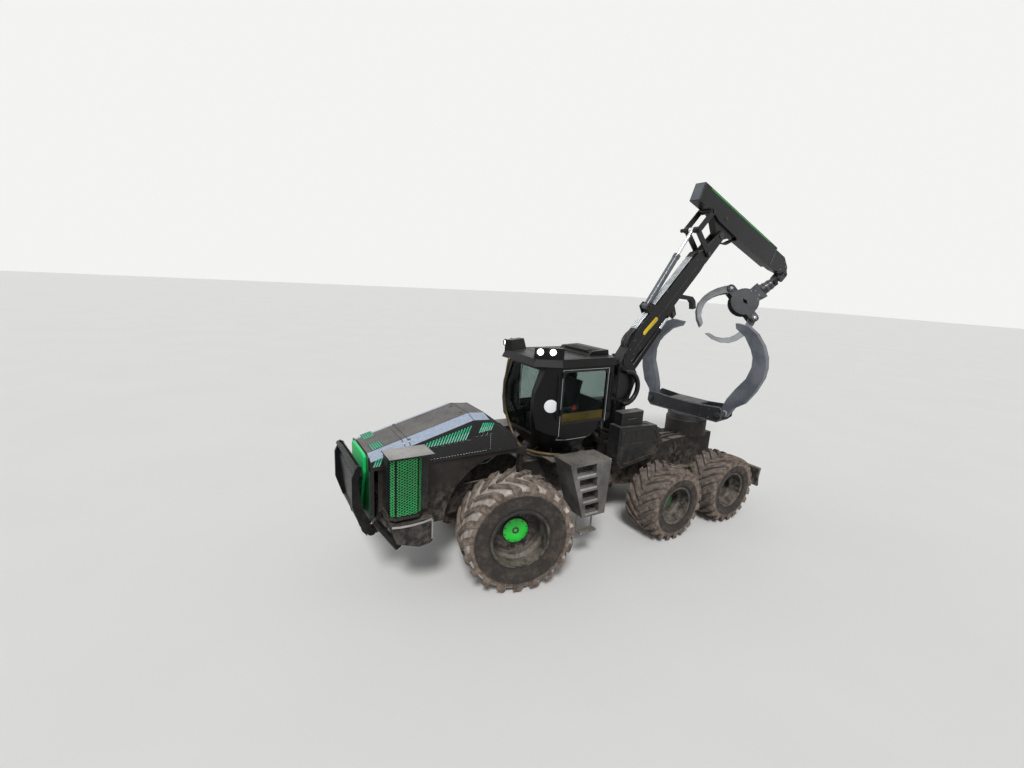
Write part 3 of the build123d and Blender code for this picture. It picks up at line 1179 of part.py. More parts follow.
def tip_link():
    """Fork over the extension's pin, crossed by the pin of the rotator."""
    half = STICK_HALF - STICK_WALL - SLIDE_GAP
    x0 = half + PLATE_GAP
    a = (TIP[0], TIP[1])
    b = (a[0] + LINK_WAY.Y * (TIP_LINK - 70), a[1] + LINK_WAY.Z * (TIP_LINK - 70))
    plates = both_sides(side_prism(link_bar(a, b, 60), x0, x0 + 26))
    bore = rod_x(a[0], a[1], 34 + SHAFT_FIT, -300, 300)
    start = TIP_POINT + LINK_WAY * (TIP_LINK - 130)
    bridge = Solid.make_cylinder(62, 60, Plane(origin=start, z_dir=LINK_WAY))
    wide = rod_between((-x0 - 20, b[0], b[1]), (x0 + 20, b[0], b[1]), 36)
    eye = Solid.make_cylinder(62, 90, Plane(origin=CROSS_POINT - CROSS_AXIS * 45, z_dir=CROSS_AXIS))
    pin_hole = Solid.make_cylinder(32 + SHAFT_FIT, 300,
                                   Plane(origin=CROSS_POINT - CROSS_AXIS * 150, z_dir=CROSS_AXIS))
    return joined(*plates, wide, bridge, eye) - [bore, pin_hole]


def rotator():
    """Fork over the cross pin and the round rotator motor under it."""
    start = CROSS_POINT + TOOL_WAY * ROTATOR_DROP
    motor = Solid.make_cylinder(115, ROTATOR_LENGTH - 90, Plane(origin=start, z_dir=TOOL_WAY))
    pin = Solid.make_cylinder(32, 190, Plane(origin=CROSS_POINT - CROSS_AXIS * 95, z_dir=CROSS_AXIS))
    ears = []
    for sign in (-1, 1):
        centre = CROSS_POINT + CROSS_AXIS * (sign * 72)
        frame = Plane(origin=centre + TOOL_WAY * 60, x_dir=TOOL_SIDE, z_dir=CROSS_AXIS)
        ears.append(frame * Box(110, 130, 34))
        ears.append(Solid.make_cylinder(55, 34, Plane(origin=centre - CROSS_AXIS * 17,
                                                      z_dir=CROSS_AXIS)))
    return joined(motor, pin, *ears)


def grapple_body():
    """Head under the rotator and the two round cheek plates with their slot."""
    start = CROSS_POINT + TOOL_WAY * (ROTATOR_DROP + ROTATOR_LENGTH - 90 + SEAT_GAP)
    neck = Solid.make_cylinder(135, 66, Plane(origin=start, z_dir=TOOL_WAY))
    block = jaw_prism([(-190, -480), (190, -480), (150, -200), (-150, -200)], -110, 110)
    outline = [(s, d) for s, d in arc_points((0, 0), GRAPPLE_PLATE_RADIUS, -70, 250, 20)]
    outline += [(-150, -380), (150, -380)]
    slot = [(-90, 0), (0, -45), (90, 0), (0, 45)]
    wide = link_bar((-TINE_PIVOT_S, TINE_PIVOT_D), (TINE_PIVOT_S, TINE_PIVOT_D), 92)
    cheeks = []
    for low, high in ((110, 135), (-135, -110)):
        plate = joined(jaw_prism(outline, low, high), jaw_prism(wide, low, high))
        cheeks.append(plate - [jaw_prism(slot, low - 5, high + 5)])
    pins = [jaw_rod(s * TINE_PIVOT_S, TINE_PIVOT_D, 34, -150, 150) for s in (-1, 1)]
    return joined(neck, block, *cheeks, *pins)


def tine(side, layers):
    """Curved tines of one jaw: side -1 or 1, layers gives their places along the pins."""
    outer = [(560, 130), (620, 300), (650, 480), (645, 640), (590, 810), (470, 960), (290, 1070),
             (90, 1120)]
    inner = [(130, 1040), (290, 975), (410, 860), (480, 730), (505, 590), (500, 450), (465, 310),
             (410, 190)]
    root = [(TINE_PIVOT_S - 75, TINE_PIVOT_D + 60), (TINE_PIVOT_S - 75, TINE_PIVOT_D - 30),
            (TINE_PIVOT_S - 30, TINE_PIVOT_D - 80), (TINE_PIVOT_S + 50, TINE_PIVOT_D - 70)]
    outline = [(side * s, d) for s, d in root + outer + inner]
    parts = []
    for low, high in layers:
        parts.append(jaw_prism(outline, low, high))
    span_low = min(low for low, high in layers)
    span_high = max(high for low, high in layers)
    parts.append(jaw_rod(side * (TINE_PIVOT_S + 145), 600, 45, span_low, span_high))
    parts.append(jaw_rod(side * TINE_PIVOT_S, TINE_PIVOT_D, 80, span_low, span_high))
    bore = jaw_rod(side * TINE_PIVOT_S, TINE_PIVOT_D, 34 + SHAFT_FIT, -400, 400)
    return joined(*parts) - [bore]


# Clam bunk

def yawed(shape):
    return Pos(0, BUNK_Y, 0) * Rot(0, 0, BUNK_YAW) * shape


def bunk_base():
    """Open trough on its turntable, with the pins of both arms."""
    d = BUNK_DEPTH_HALF
    outline = [(-BUNK_LOW_HALF, BUNK_LOW_Z), (BUNK_LOW_HALF, BUNK_LOW_Z), (BUNK_TOP_HALF, 2020),
               (BUNK_TOP_HALF, BUNK_TOP_Z - 60), (BUNK_TOP_HALF - 60, BUNK_TOP_Z), (350, BUNK_TOP_Z - 40),
               (-350, BUNK_TOP_Z - 40), (-BUNK_TOP_HALF + 60, BUNK_TOP_Z),
               (-BUNK_TOP_HALF, BUNK_TOP_Z - 60), (-BUNK_TOP_HALF, 2020)]
    walls = [front_prism(outline, -d, -d + BUNK_PLATE), front_prism(outline, d - BUNK_PLATE, d)]
    floor = box(-BUNK_LOW_HALF, BUNK_LOW_HALF, -d + 1, d - 1, BUNK_LOW_Z, BUNK_LOW_Z + 30)
    middle = box(-330, 330, -d + 1, d - 1, BUNK_TOP_Z - 70, BUNK_TOP_Z - 40)
    ribs = [box(x - 15, x + 15, -d + 1, d - 1, BUNK_LOW_Z + 20, BUNK_TOP_Z - 50) for x in (-345, 345)]
    ring = rod_z(0, 0, BUNK_RING_RADIUS - 20, BUNK_RING_Z + SEAT_GAP, BUNK_LOW_Z + 10)
    pins = []
    for sign in (-1, 1):
        x = sign * ARM_PIVOT_X
        pins.append(Solid.make_cylinder(45, 2 * d + 40, Plane(origin=(x, -d - 20, ARM_PIVOT_Z),
                                                              z_dir=(0, 1, 0))))
    return yawed(joined(*walls, floor, middle, *ribs, ring, *pins))


def bunk_arm(sign):
    """Crescent arm of the left side (sign 1) or the right side (sign -1)."""
    outer = [(960, 2230), (1150, 2370), (1320, 2650), (1430, 2940), (1450, 3140), (1420, 3350),
             (1330, 3560), (1170, 3770), (990, 3900), (740, 3930)]
    inner = [(760, 3830), (960, 3690), (1110, 3460), (1170, 3310), (1180, 3120), (1110, 2880),
             (930, 2620), (800, 2400), (720, 2180)]
    root = [(715, 2050), (760, 2000), (840, 2010), (880, 2080)]
    outline = [(sign * x, z) for x, z in outer + inner + root]
    middle = sign * ARM_STAGGER
    plate = front_prism(outline, middle - ARM_THICK / 2, middle + ARM_THICK / 2)
    pivot = Plane(origin=(sign * ARM_PIVOT_X, middle - ARM_THICK / 2 - 6, ARM_PIVOT_Z), z_dir=(0, 1, 0))
    boss = Solid.make_cylinder(72, ARM_THICK + 12, pivot)
    hole = Solid.make_cylinder(45 + SHAFT_FIT, ARM_THICK + 200,
                               Plane(origin=pivot.origin - Vector(0, 50, 0), z_dir=(0, 1, 0)))
    arm = joined(plate, boss) - [hole]
    if sign < 0:
        turn = Pos(-ARM_PIVOT_X, 0, ARM_PIVOT_Z) * Rot(0, ARM_CLOSED_RIGHT, 0)
        arm = turn * Pos(ARM_PIVOT_X, 0, -ARM_PIVOT_Z) * arm
    return yawed(arm)


# Assembly

def build():
    """All sub-parts by name, in drawing coordinates."""
    nodes = {}
    nodes["front_frame"] = front_frame()
    nodes["engine_block"] = joined(engine_block(), *engine_mounts())
    nodes["hood"] = hood()
    nodes["side_panels"] = side_panels()
    nodes["nose_panel"] = nose_panel()
    tops = (RADIATOR_TOP_Z, RADIATOR_RIGHT_TOP_Z)
    nodes["radiator_boxes"] = one_each(*[radiator_box(top) for top in tops])
    nodes["side_grilles"] = one_each(*[side_grille(top) for top in tops])
    nodes["access_steps"] = both_sides(access_steps())
    nodes["front_axle"] = front_axle()
    nodes["guard_blade"] = guard_blade()
    nodes["steering_link"] = steering_link_at_rest()

    left = knuckle()
    nodes["knuckle_left"] = steered(left)
    nodes["knuckle_right"] = steered_right(mirror(left, about=Plane.YZ))
    front_tyre = tyre(FRONT_TYRE_RADIUS, FRONT_FLANGE_RADIUS, FRONT_LUGS)
    front_rim = rim(FRONT_FLANGE_RADIUS)
    for name, shape in (("tyre", front_tyre), ("rim", front_rim)):
        placed = Pos(WHEEL_X, 0, FRONT_TYRE_RADIUS) * shape
        nodes[f"front_{name}_left"] = steered(placed)
        nodes[f"front_{name}_right"] = steered_right(mirror(placed, about=Plane.YZ))

    rear_tyre = tyre(REAR_TYRE_RADIUS, REAR_FLANGE_RADIUS, REAR_LUGS)
    rear_rim = rim(REAR_FLANGE_RADIUS)
    for row, y in (("mid", REAR_AXLE_1_Y), ("rear", REAR_AXLE_2_Y)):
        for name, shape in (("tyre", rear_tyre), ("rim", rear_rim)):
            placed = Pos(WHEEL_X, y, REAR_TYRE_RADIUS) * shape
            nodes[f"{row}_{name}_left"] = placed
            nodes[f"{row}_{name}_right"] = mirror(placed, about=Plane.YZ)

    nodes["rear_frame"] = joined(rear_frame(), *blade_pins())
    nodes["side_boxes"] = both_sides(side_boxes())
    nodes["bogie_beams"] = both_sides(bogie_beam())
    nodes["rear_blade"] = rear_blade() - [rod_x(BLADE_PIVOT_Y, BLADE_PIVOT_Z, 35 + SHAFT_FIT, -500, 500)]

    outer = cab_volume(0)
    inner = cab_volume(CAB_WALL)
    nodes["cab_shell"] = cab_shell(outer, inner)
    nodes["cab_glass"] = cab_glass(outer, inner)
    nodes["cab_roof"] = cab_roof()
    nodes["roof_lamps"] = roof_lamps()
    nodes["seat"] = seat()
    nodes["console"] = console()
    nodes["door"], nodes["door_glass"] = door_parts(outer, inner)

    nodes["crane_column"] = column()
    nodes["boom"] = boom()
    nodes["boom_pipes"] = boom_pipes()
    nodes["lift_barrel"] = lift_barrel()
    nodes["lift_rod"] = lift_rod()
    nodes["jib_barrel"] = jib_barrel()
    nodes["jib_rod"] = jib_rod()
    nodes["rocker"] = rocker()
    nodes["link"] = link()
    nodes["stick"] = stick()
    nodes["extension"] = extension()
    nodes["tip_link"] = tip_link()
    nodes["rotator"] = rotator()
    nodes["grapple_body"] = grapple_body()
    nodes["tine_left"] = tine(-1, [(-100, -60), (60, 100)])
    nodes["tine_right"] = tine(1, [(-20, 20)])
    nodes["bunk_base"] = bunk_base()
    nodes["bunk_arm_left"] = bunk_arm(1)
    nodes["bunk_arm_right"] = bunk_arm(-1)
    return nodes


def solids_of(shape):
    pieces = shape if isinstance(shape, list) else [shape]
    return [solid for piece in pieces for solid in piece.solids()]


def origin_of(nodes):
    """The point under the middle of the whole machine, in drawing coordinates."""
    boxes = [solid.bounding_box() for shape in nodes.values() for solid in solids_of(shape)]
    x = (min(b.min.X for b in boxes) + max(b.max.X for b in boxes)) / 2
    y = (min(b.min.Y for b in boxes) + max(b.max.Y for b in boxes)) / 2
    z = min(b.min.Z for b in boxes)
    return Vector(x, y, z)


if __name__ == "__main__":
    os.makedirs("parts", exist_ok=True)
    NODES = build()
    ORIGIN = origin_of(NODES)
    print("origin in drawing coordinates", ORIGIN)
    for node_name, node_shape in NODES.items():
        moved = [Pos(-ORIGIN.X, -ORIGIN.Y, -ORIGIN.Z) * s for s in solids_of(node_shape)]
        export_step(Compound(moved), f"parts/{node_name}.step")
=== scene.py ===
import json
import math
import random

import bmesh
import bpy
from mathutils import Matrix, Vector


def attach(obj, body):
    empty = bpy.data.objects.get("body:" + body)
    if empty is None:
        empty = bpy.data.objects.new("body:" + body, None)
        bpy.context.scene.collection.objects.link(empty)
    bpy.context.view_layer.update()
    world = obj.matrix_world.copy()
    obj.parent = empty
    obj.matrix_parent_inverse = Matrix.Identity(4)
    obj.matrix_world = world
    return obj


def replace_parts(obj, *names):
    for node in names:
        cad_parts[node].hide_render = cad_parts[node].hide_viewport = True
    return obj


# Looks of the six wheel clam bunk skidder, with sizes in the drawing's millimetres
# Y = 0 is the front axle, -Y forward, +X the machine's left, Z = 0 the ground

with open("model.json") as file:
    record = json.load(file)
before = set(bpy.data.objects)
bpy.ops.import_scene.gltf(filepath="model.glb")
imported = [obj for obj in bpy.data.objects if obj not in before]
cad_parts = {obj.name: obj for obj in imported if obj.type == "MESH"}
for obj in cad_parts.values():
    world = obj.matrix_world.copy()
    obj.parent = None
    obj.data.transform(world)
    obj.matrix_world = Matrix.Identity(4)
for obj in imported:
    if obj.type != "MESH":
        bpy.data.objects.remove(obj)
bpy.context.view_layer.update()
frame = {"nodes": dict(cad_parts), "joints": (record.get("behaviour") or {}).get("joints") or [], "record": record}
RNG = random.Random(11)
SIDES = (1, -1)
UP = Vector((0, 0, 1))
SKIN = 0.3

PIVOT = (0, 1950, 1060)
PIVOT_AT = next(j["pos_m"] for j in frame["joints"] if j["name"] == "articulation")
SHIFT = Vector(PIVOT_AT) - Vector(PIVOT) / 1000

WHEEL_X = 1020
KINGPIN_X = 750
STEER_REST = math.radians(-14.3)
FRONT_RADIUS = 860
REAR_RADIUS = 670
FRONT_FLANGE = 457
REAR_FLANGE = 362
LUG_HIGH = 50
REAR_AXLES = {"mid": 3220, "rear": 4820}
HUB_FACE_X = 40

CAB_Y = 1250
CAB_FRONT_Y = CAB_Y - 790
CAB_REAR_Y = CAB_Y + 830
CAB_HALF = 680
CAB_FRONT_HALF = 480
CAB_BEVEL_Y = CAB_Y - 400
BAR_RADIUS = 764
ROOF_Z = 3350
POD_TOP_Z = ROOF_Z + 175
DOOR_FRONT_Y = 872
DOOR_REAR_Y = 1850
DOOR_TOP_Z = 3190
DOOR_FRAME = 38

HOOD_HALF = 500
HOOD_TOP_HALF = 300
HOOD_DROP = 60
HOOD_LINE = [(-2070, 2120), (-570, 2540), (-300, 2520), (220, 2140)]
HOOD_SEAMS = (-1591, -1519)
HOOD_UP = (0, -0.27, 0.963)

RADIATOR_OUT = 880
RADIATOR_FRONT_Y = -1925
RADIATOR_REAR_Y = -1470
RADIATOR_BEVEL = 70
RADIATOR_LOW_Z = 1340
RADIATOR_TOPS = (2200, 1870)

STEP_OUTER = 1240
STEP_TOP = 1840
STEP_LOW = 880
STEP_FRONT_TOP = 725
STEP_FRONT_LOW = 1060
STEP_REAR = 1560

BOOM_FOOT = (2750, 3150)
BOOM_ANGLE = math.radians(47)
BOOM_LENGTH = 3375
BOOM_SIDE = 110 + SKIN
STICK_SIDE = 115 + SKIN
STICK_TAIL = -970
TIP_U = 2575
TIP_N = 270
STICK_ANGLE = math.radians(-20)
LIFT_EYE = (1450, -252)

BUNK_Y = 4900
BUNK_TURN = math.radians(8)
BUNK_PIN_X = 790
BUNK_PIN_Z = 2085

PAD_VOXEL = 0.013
PAD_CAP = 0.022
PAD_FRAMES = 20


def at(x, y, z):
    return Vector((x, y, z)) / 1000 + SHIFT


def along_line(origin, angle, along, side):
    c = math.cos(angle)
    s = math.sin(angle)
    return origin[0] + along * c - side * s, origin[1] + along * s + side * c


KNEE = along_line(BOOM_FOOT, BOOM_ANGLE, BOOM_LENGTH, 0)


def on_boom(x, along, side):
    return (x, *along_line(BOOM_FOOT, BOOM_ANGLE, along, side))


def on_stick(x, along, side):
    return (x, *along_line(KNEE, STICK_ANGLE, along, side))


# Camera, floor and lights

def add_node(tree, kind, inputs, out=0, **settings):
    """A new node, given back as the socket that holds its result."""
    node = tree.nodes.new("ShaderNode" + kind)
    for key, value in settings.items():
        setattr(node, key, value)
    for key, value in inputs.items():
        if isinstance(value, bpy.types.NodeSocket):
            tree.links.new(value, node.inputs[key])
        else:
            node.inputs[key].default_value = value
    return node.outputs[out]


def make_camera():
    data = bpy.data.cameras.new("camera")
    data.sensor_width = 36
    data.lens = 16.41
    data.clip_end = 400
    camera = bpy.data.objects.new("camera", data)
    bpy.context.collection.objects.link(camera)
    right = (0.5146, 0.8552, 0.0554)
    up = (-0.2149, 0.0662, 0.9741)
    back = (0.830, -0.5136, 0.218)
    spot = at(6373, -3578, 4527)
    camera.matrix_world = Matrix([*zip(right, up, back, spot), (0, 0, 0, 1)])
    bpy.context.scene.camera = camera


def make_floor():
    mesh = bpy.data.meshes.new("floor")
    half = 150
    corners = [(-half, -half, 0), (half, -half, 0), (half, half, 0), (-half, half, 0)]
    mesh.from_pydata(corners, [], [(0, 1, 2, 3)])
    floor = bpy.data.objects.new("floor", mesh)
    bpy.context.collection.objects.link(floor)
    g = Graph("floor_pale")
    g.set(Roughness=0.95)
    g.put("Base Color", g.mix(g.noise(0.35, 3), rgb("dddcd9"), rgb("e4e3e0")))
    mesh.materials.append(g.material)


def make_lights():
    world = bpy.data.worlds.new("studio")
    bpy.context.scene.world = world
    world.use_nodes = True
    tree = world.node_tree
    tree.nodes.clear()
    soft = add_node(tree, "Background", {"Color": (0.93, 0.96, 1.0, 1), "Strength": 0.38})
    shown = add_node(tree, "Background", {"Color": (0.9, 0.9, 0.89, 1), "Strength": 1.0})
    path = tree.nodes.new("ShaderNodeLightPath").outputs
    seen = path["Is Camera Ray"]
    for kind in ("Is Glossy Ray", "Is Transmission Ray"):
        seen = add_node(tree, "Math", {0: seen, 1: path[kind]}, operation="MAXIMUM")
    mixer = add_node(tree, "MixShader", {0: seen, 1: soft, 2: shown})
    tree.links.new(mixer, tree.nodes.new("ShaderNodeOutputWorld").inputs["Surface"])
    for name, power, turn, spread in (
            ("key", 2.1, (0.62, 0.35, 0.5), 14), ("fill", 0.3, (-0.9, 0.4, 2.6), 60)):
        data = bpy.data.lights.new(name, "SUN")
        data.energy = power
        data.angle = math.radians(spread)
        lamp = bpy.data.objects.new(name, data)
        lamp.rotation_euler = turn
        bpy.context.collection.objects.link(lamp)


# Materials

def rgb(code):
    """A written sRGB colour as linear light."""
    parts = [int(code[i:i + 2], 16) / 255 for i in (0, 2, 4)]
    light = (c / 12.92 if c <= 0.04045 else ((c + 0.055) / 1.055) ** 2.4 for c in parts)
    return (*light, 1.0)


DUST = rgb("8d8378")
MUD = rgb("6b5a4d")
DRY_MUD = rgb("a39b90")
EDGE = 0.006


class Graph:
    """One node material; its methods add a node and give back the socket that holds the result."""

    def __init__(self, name):
        self.material = bpy.data.materials.new(name)
        self.material.use_nodes = True
        self.tree = self.material.node_tree
        self.shader = self.tree.nodes["Principled BSDF"]
        place = self.tree.nodes.new("ShaderNodeTexCoord")
        self.point = place.outputs["Object"]
        self.normal = place.outputs["Normal"]

    def set(self, **values):
        for key, value in values.items():
            self.shader.inputs[key.replace("_", " ")].default_value = value

    def put(self, key, socket):
        self.tree.links.new(socket, self.shader.inputs[key])

    def add(self, kind, inputs, out=0, **settings):
        return add_node(self.tree, kind, inputs, out, **settings)

    def noise(self, scale, detail=4.0, rough=0.55, stretch=None, shift=0.0):
        point = self.point
        if stretch or shift:
            point = self.add("Mapping", {"Scale": stretch or (1, 1, 1), "Location": (shift,) * 3,
                                         "Vector": point}, "Vector")
        return self.add("TexNoise", {"Scale": scale, "Detail": detail, "Roughness": rough,
                                     "Vector": point}, "Fac")

    def ramp(self, value, low, high, to_low=0.0, to_high=1.0):
        return self.add("MapRange", {"Value": value, "From Min": low, "From Max": high,
                                     "To Min": to_low, "To Max": to_high}, "Result",
                        interpolation_type="SMOOTHSTEP")

    def calc(self, kind, a, b):
        return self.add("Math", {0: a, 1: b}, operation=kind)

    def times(self, first, *others):
        for other in others:
            first = self.calc("MULTIPLY", first, other)
        return first

    def mix(self, amount, a, b):
        return self.add("Mix", {0: amount, 6: a, 7: b}, 2, data_type="RGBA")

    def tone(self, value, low, high, base, vary):
        return self.mix(self.ramp(value, low, high), rgb(base), rgb(vary))

    def axis(self, socket, index):
        return self.add("SeparateXYZ", {0: socket}, index)

    def edges(self):
        """Bright along edges, and a rounded normal for them."""
        bevel = self.add("Bevel", {"Radius": EDGE}, samples=4)
        flat = self.add("NewGeometry", {}, "Normal")
        dot = self.add("VectorMath", {0: bevel, 1: flat}, "Value", operation="DOT_PRODUCT")
        return self.ramp(dot, 0.995, 0.86), bevel

    def bump(self, height, strength, distance, normal=None):
        inputs = {"Strength": strength, "Distance": distance, "Height": height}
        if normal:
            inputs["Normal"] = normal
        self.put("Normal", self.add("Bump", inputs))


def metal(name, base, vary, rough=0.45, dust=0.5, worn=0.4, scrape="8b8d90", mud=0.0, mud_top=1.9,
          metallic=0.0, grain=0.25, coat=0.0, gleam=0.5):
    """Painted or bare metal with colour drift, dust on top, mud low down and worn edges."""
    g = Graph(name)
    wide = g.noise(1.7, 5, 0.6)
    fine = g.noise(34, 6, 0.65, shift=3.1)
    specks = g.ramp(g.noise(150, 2, 0.6, shift=7), 0.6, 0.72)
    colour = g.mix(g.times(specks, 0.35 * dust), g.tone(wide, 0.35, 0.68, base, vary), DUST)
    lines, rounded = g.edges()
    colour = g.mix(g.times(lines, g.ramp(fine, 0.42, 0.6), worn), colour, rgb(scrape))
    up = g.ramp(g.axis(g.normal, 2), 0.25, 0.95)
    settled = g.times(up, g.ramp(g.noise(5, 6, 0.7), 0.3, 0.7), dust)
    colour = g.mix(settled, colour, DUST)
    roughness = g.ramp(fine, 0.2, 0.8, rough - 0.1, rough + 0.15)
    if mud > 0:
        height = g.calc("ADD", g.axis(g.point, 2), g.ramp(wide, 0.2, 0.8, -0.4, 0.4))
        low = g.ramp(height, mud_top, mud_top * 0.35)
        splash = g.times(low, g.ramp(g.noise(9, 7, 0.7, shift=1.3), 0.38, 0.62), mud)
        colour = g.mix(splash, colour, g.mix(g.noise(20, 4), MUD, DRY_MUD))
        roughness = g.calc("MAXIMUM", roughness, g.times(splash, 0.9))
    g.put("Base Color", colour)
    g.put("Roughness", roughness)
    g.set(Metallic=metallic, Coat_Weight=coat, Specular_IOR_Level=gleam)
    g.bump(g.calc("ADD", fine, g.times(settled, 0.6)), grain, 0.003, rounded)
    return g.material


def tyre_rubber(name, outer, flange_mm):
    """Rubber with brown clods on the lugs and pale dried mud between them, by radius."""
    g = Graph(name)
    crown = (outer - LUG_HIGH) / 1000
    flange = flange_mm / 1000
    flat = g.add("VectorMath", {0: g.point, 1: (0, 1, 1)}, operation="MULTIPLY")
    radius = g.add("VectorMath", {0: flat}, "Value", operation="LENGTH")
    across = g.calc("ABSOLUTE", g.axis(g.point, 0), 0.0)
    wide = g.noise(4, 6, 0.65)
    fine = g.noise(26, 7, 0.7, shift=2)
    bare = g.mix(wide, rgb("1e1c1a"), rgb("37312d"))
    clods = g.tone(g.noise(11, 5, 0.6, shift=9), 0.35, 0.65, "4f443d", "827469")
    pale = g.tone(g.noise(8, 5, 0.6, shift=6), 0.3, 0.7, "9a9188", "cfc8be")
    on_lug = g.ramp(radius, crown - 0.004, crown + 0.022)
    between = g.times(g.ramp(radius, crown - 0.075, crown - 0.04), g.ramp(fine, 0.2, 0.42))
    colour = g.mix(g.times(between, 0.88 if outer == FRONT_RADIUS else 0.3), bare, pale)
    shoulder = g.times(g.ramp(across, 0.315, 0.33), g.ramp(radius, crown - 0.12, crown - 0.09))
    on_lug = g.calc("MAXIMUM", on_lug, shoulder)
    colour = g.mix(g.times(on_lug, g.ramp(wide, 0.15, 0.4)), colour, clods)
    patches = g.ramp(g.noise(7, 6, 0.7, shift=4), 0.42, 0.7)
    stain = g.times(g.ramp(across, 0.27, 0.33), patches, 0.35)
    colour = g.mix(stain, colour, rgb("75665a"))
    near_rim = g.ramp(radius, flange + 0.09, flange + 0.02)
    colour = g.mix(g.times(near_rim, 0.5), colour, rgb("2b2725"))
    g.put("Base Color", colour)
    g.put("Roughness", g.ramp(fine, 0.2, 0.8, 0.78, 0.98))
    g.bump(g.calc("ADD", fine, g.times(g.noise(70, 4, 0.6), 0.4)), 0.55, 0.012)
    return g.material


def clear_glass(name, tint, seen=0.72):
    g = Graph(name)
    through = g.add("BsdfTransparent", {"Color": tint})
    facing = g.add("LayerWeight", {"Blend": 0.35}, "Facing")
    streaks = g.ramp(g.noise(3, 5, 0.7, stretch=(1, 1, 0.3)), 0.35, 0.8, 0.0, 0.12)
    gloss = g.calc("ADD", g.ramp(facing, 0.3, 1.0, 1 - seen - 0.22, 0.7), streaks)
    g.put("Base Color", g.mix(g.noise(2, 3), rgb("15191a"), rgb("222829")))
    g.set(Roughness=0.06)
    mixer = g.add("MixShader", {0: gloss, 1: through, 2: g.shader.outputs[0]})
    g.tree.links.new(mixer, g.tree.nodes["Material Output"].inputs["Surface"])
    return g.material


def lamp_lens(name, power):
    g = Graph(name)
    cells = g.add("TexVoronoi", {"Scale": 90, "Vector": g.point}, "Distance")
    g.put("Base Color", g.mix(cells, rgb("dfe6ea"), rgb("ffffff")))
    g.set(Roughness=0.12)
    if power:
        g.set(Emission_Color=(1.0, 0.97, 0.88, 1), Emission_Strength=power)
    g.bump(cells, 0.4, 0.002)
    return g.material


def cloth(name, base, vary):
    g = Graph(name)
    weave = g.times(g.noise(600, 2), g.noise(420, 2, shift=5))
    g.put("Base Color", g.tone(g.noise(6, 5, 0.6), 0.3, 0.7, base, vary))
    g.put("Roughness", g.ramp(weave, 0.1, 0.5, 0.85, 0.98))
    g.set(Sheen_Weight=0.25)
    g.bump(weave, 0.5, 0.002)
    return g.material


def rubber(name, base, worn):
    g = Graph(name)
    wear = g.noise(16, 5, 0.6)
    g.put("Base Color", g.tone(wear, 0.45, 0.75, base, worn))
    g.put("Roughness", g.ramp(wear, 0.2, 0.8, 0.45, 0.75))
    g.bump(g.noise(240, 2), 0.3, 0.001)
    return g.material


def hood_paint(name):
    """Matt top and near black flanks as painted, with a painted reflection of the sky on the pale chamfers along
    both sides.
    """
    g = Graph(name)
    across = g.calc("ABSOLUTE", g.axis(g.point, 0), 0.0)
    past_top = g.ramp(across, 0.299, 0.303)
    up = g.axis(g.normal, 2)
    fine = g.noise(30, 6, 0.7)
    specks = g.ramp(g.noise(190, 2, 0.6), 0.63, 0.7)
    top = g.mix(specks, g.tone(g.noise(2.5, 6, 0.7), 0.3, 0.7, "4c4a49", "6a6663"), rgb("b7b1aa"))
    crest = SHIFT.y - 0.3
    front = g.ramp(g.axis(g.point, 1), crest + 0.004, crest - 0.004)
    rear = g.mix(past_top, g.tone(fine, 0.3, 0.7, "8d8a88", "a5a19d"), rgb("26272a"))
    # Painted reflection: pale blue grey of the sky on the sloped chamfers ahead of the crest
    chamfer_sky_reflection = g.times(past_top, g.ramp(up, 0.2, 0.3), front)
    colour = g.mix(chamfer_sky_reflection, g.mix(front, rear, top), g.tone(fine, 0.3, 0.7, "8f9bb0", "aab6c6"))
    colour = g.mix(g.ramp(up, 0.3, 0.2), colour, g.tone(fine, 0.4, 0.7, "0d0e0f", "23211f"))
    lines, rounded = g.edges()
    g.put("Base Color", g.mix(g.times(lines, 0.3), colour, rgb("a9adb2")))
    g.put("Roughness", g.ramp(chamfer_sky_reflection, 0, 1, 0.62, 0.34))
    g.bump(fine, 0.15, 0.002, rounded)
    return g.material


def nose_paint(name):
    """Green centre plate on a black carrier, parted by how far forward they are."""
    g = Graph(name)
    fine = g.noise(40, 5, 0.6)
    forward = g.ramp(g.axis(g.point, 1), SHIFT.y - 2.0935, SHIFT.y - 2.0955)
    black = g.tone(fine, 0.4, 0.7, "0a0b0c", "1d1c1b")
    colour = g.mix(forward, black, g.tone(fine, 0.3, 0.7, "00d068", "10e07c"))
    lines, rounded = g.edges()
    g.put("Base Color", g.mix(g.times(lines, 0.2), colour, rgb("9fd8b0")))
    g.put("Roughness", g.ramp(fine, 0.2, 0.8, 0.28, 0.5))
    g.bump(fine, 0.1, 0.002, rounded)
    return g.material


# Material, two colours, roughness, dust, wear and worn colour of each painted or bare metal

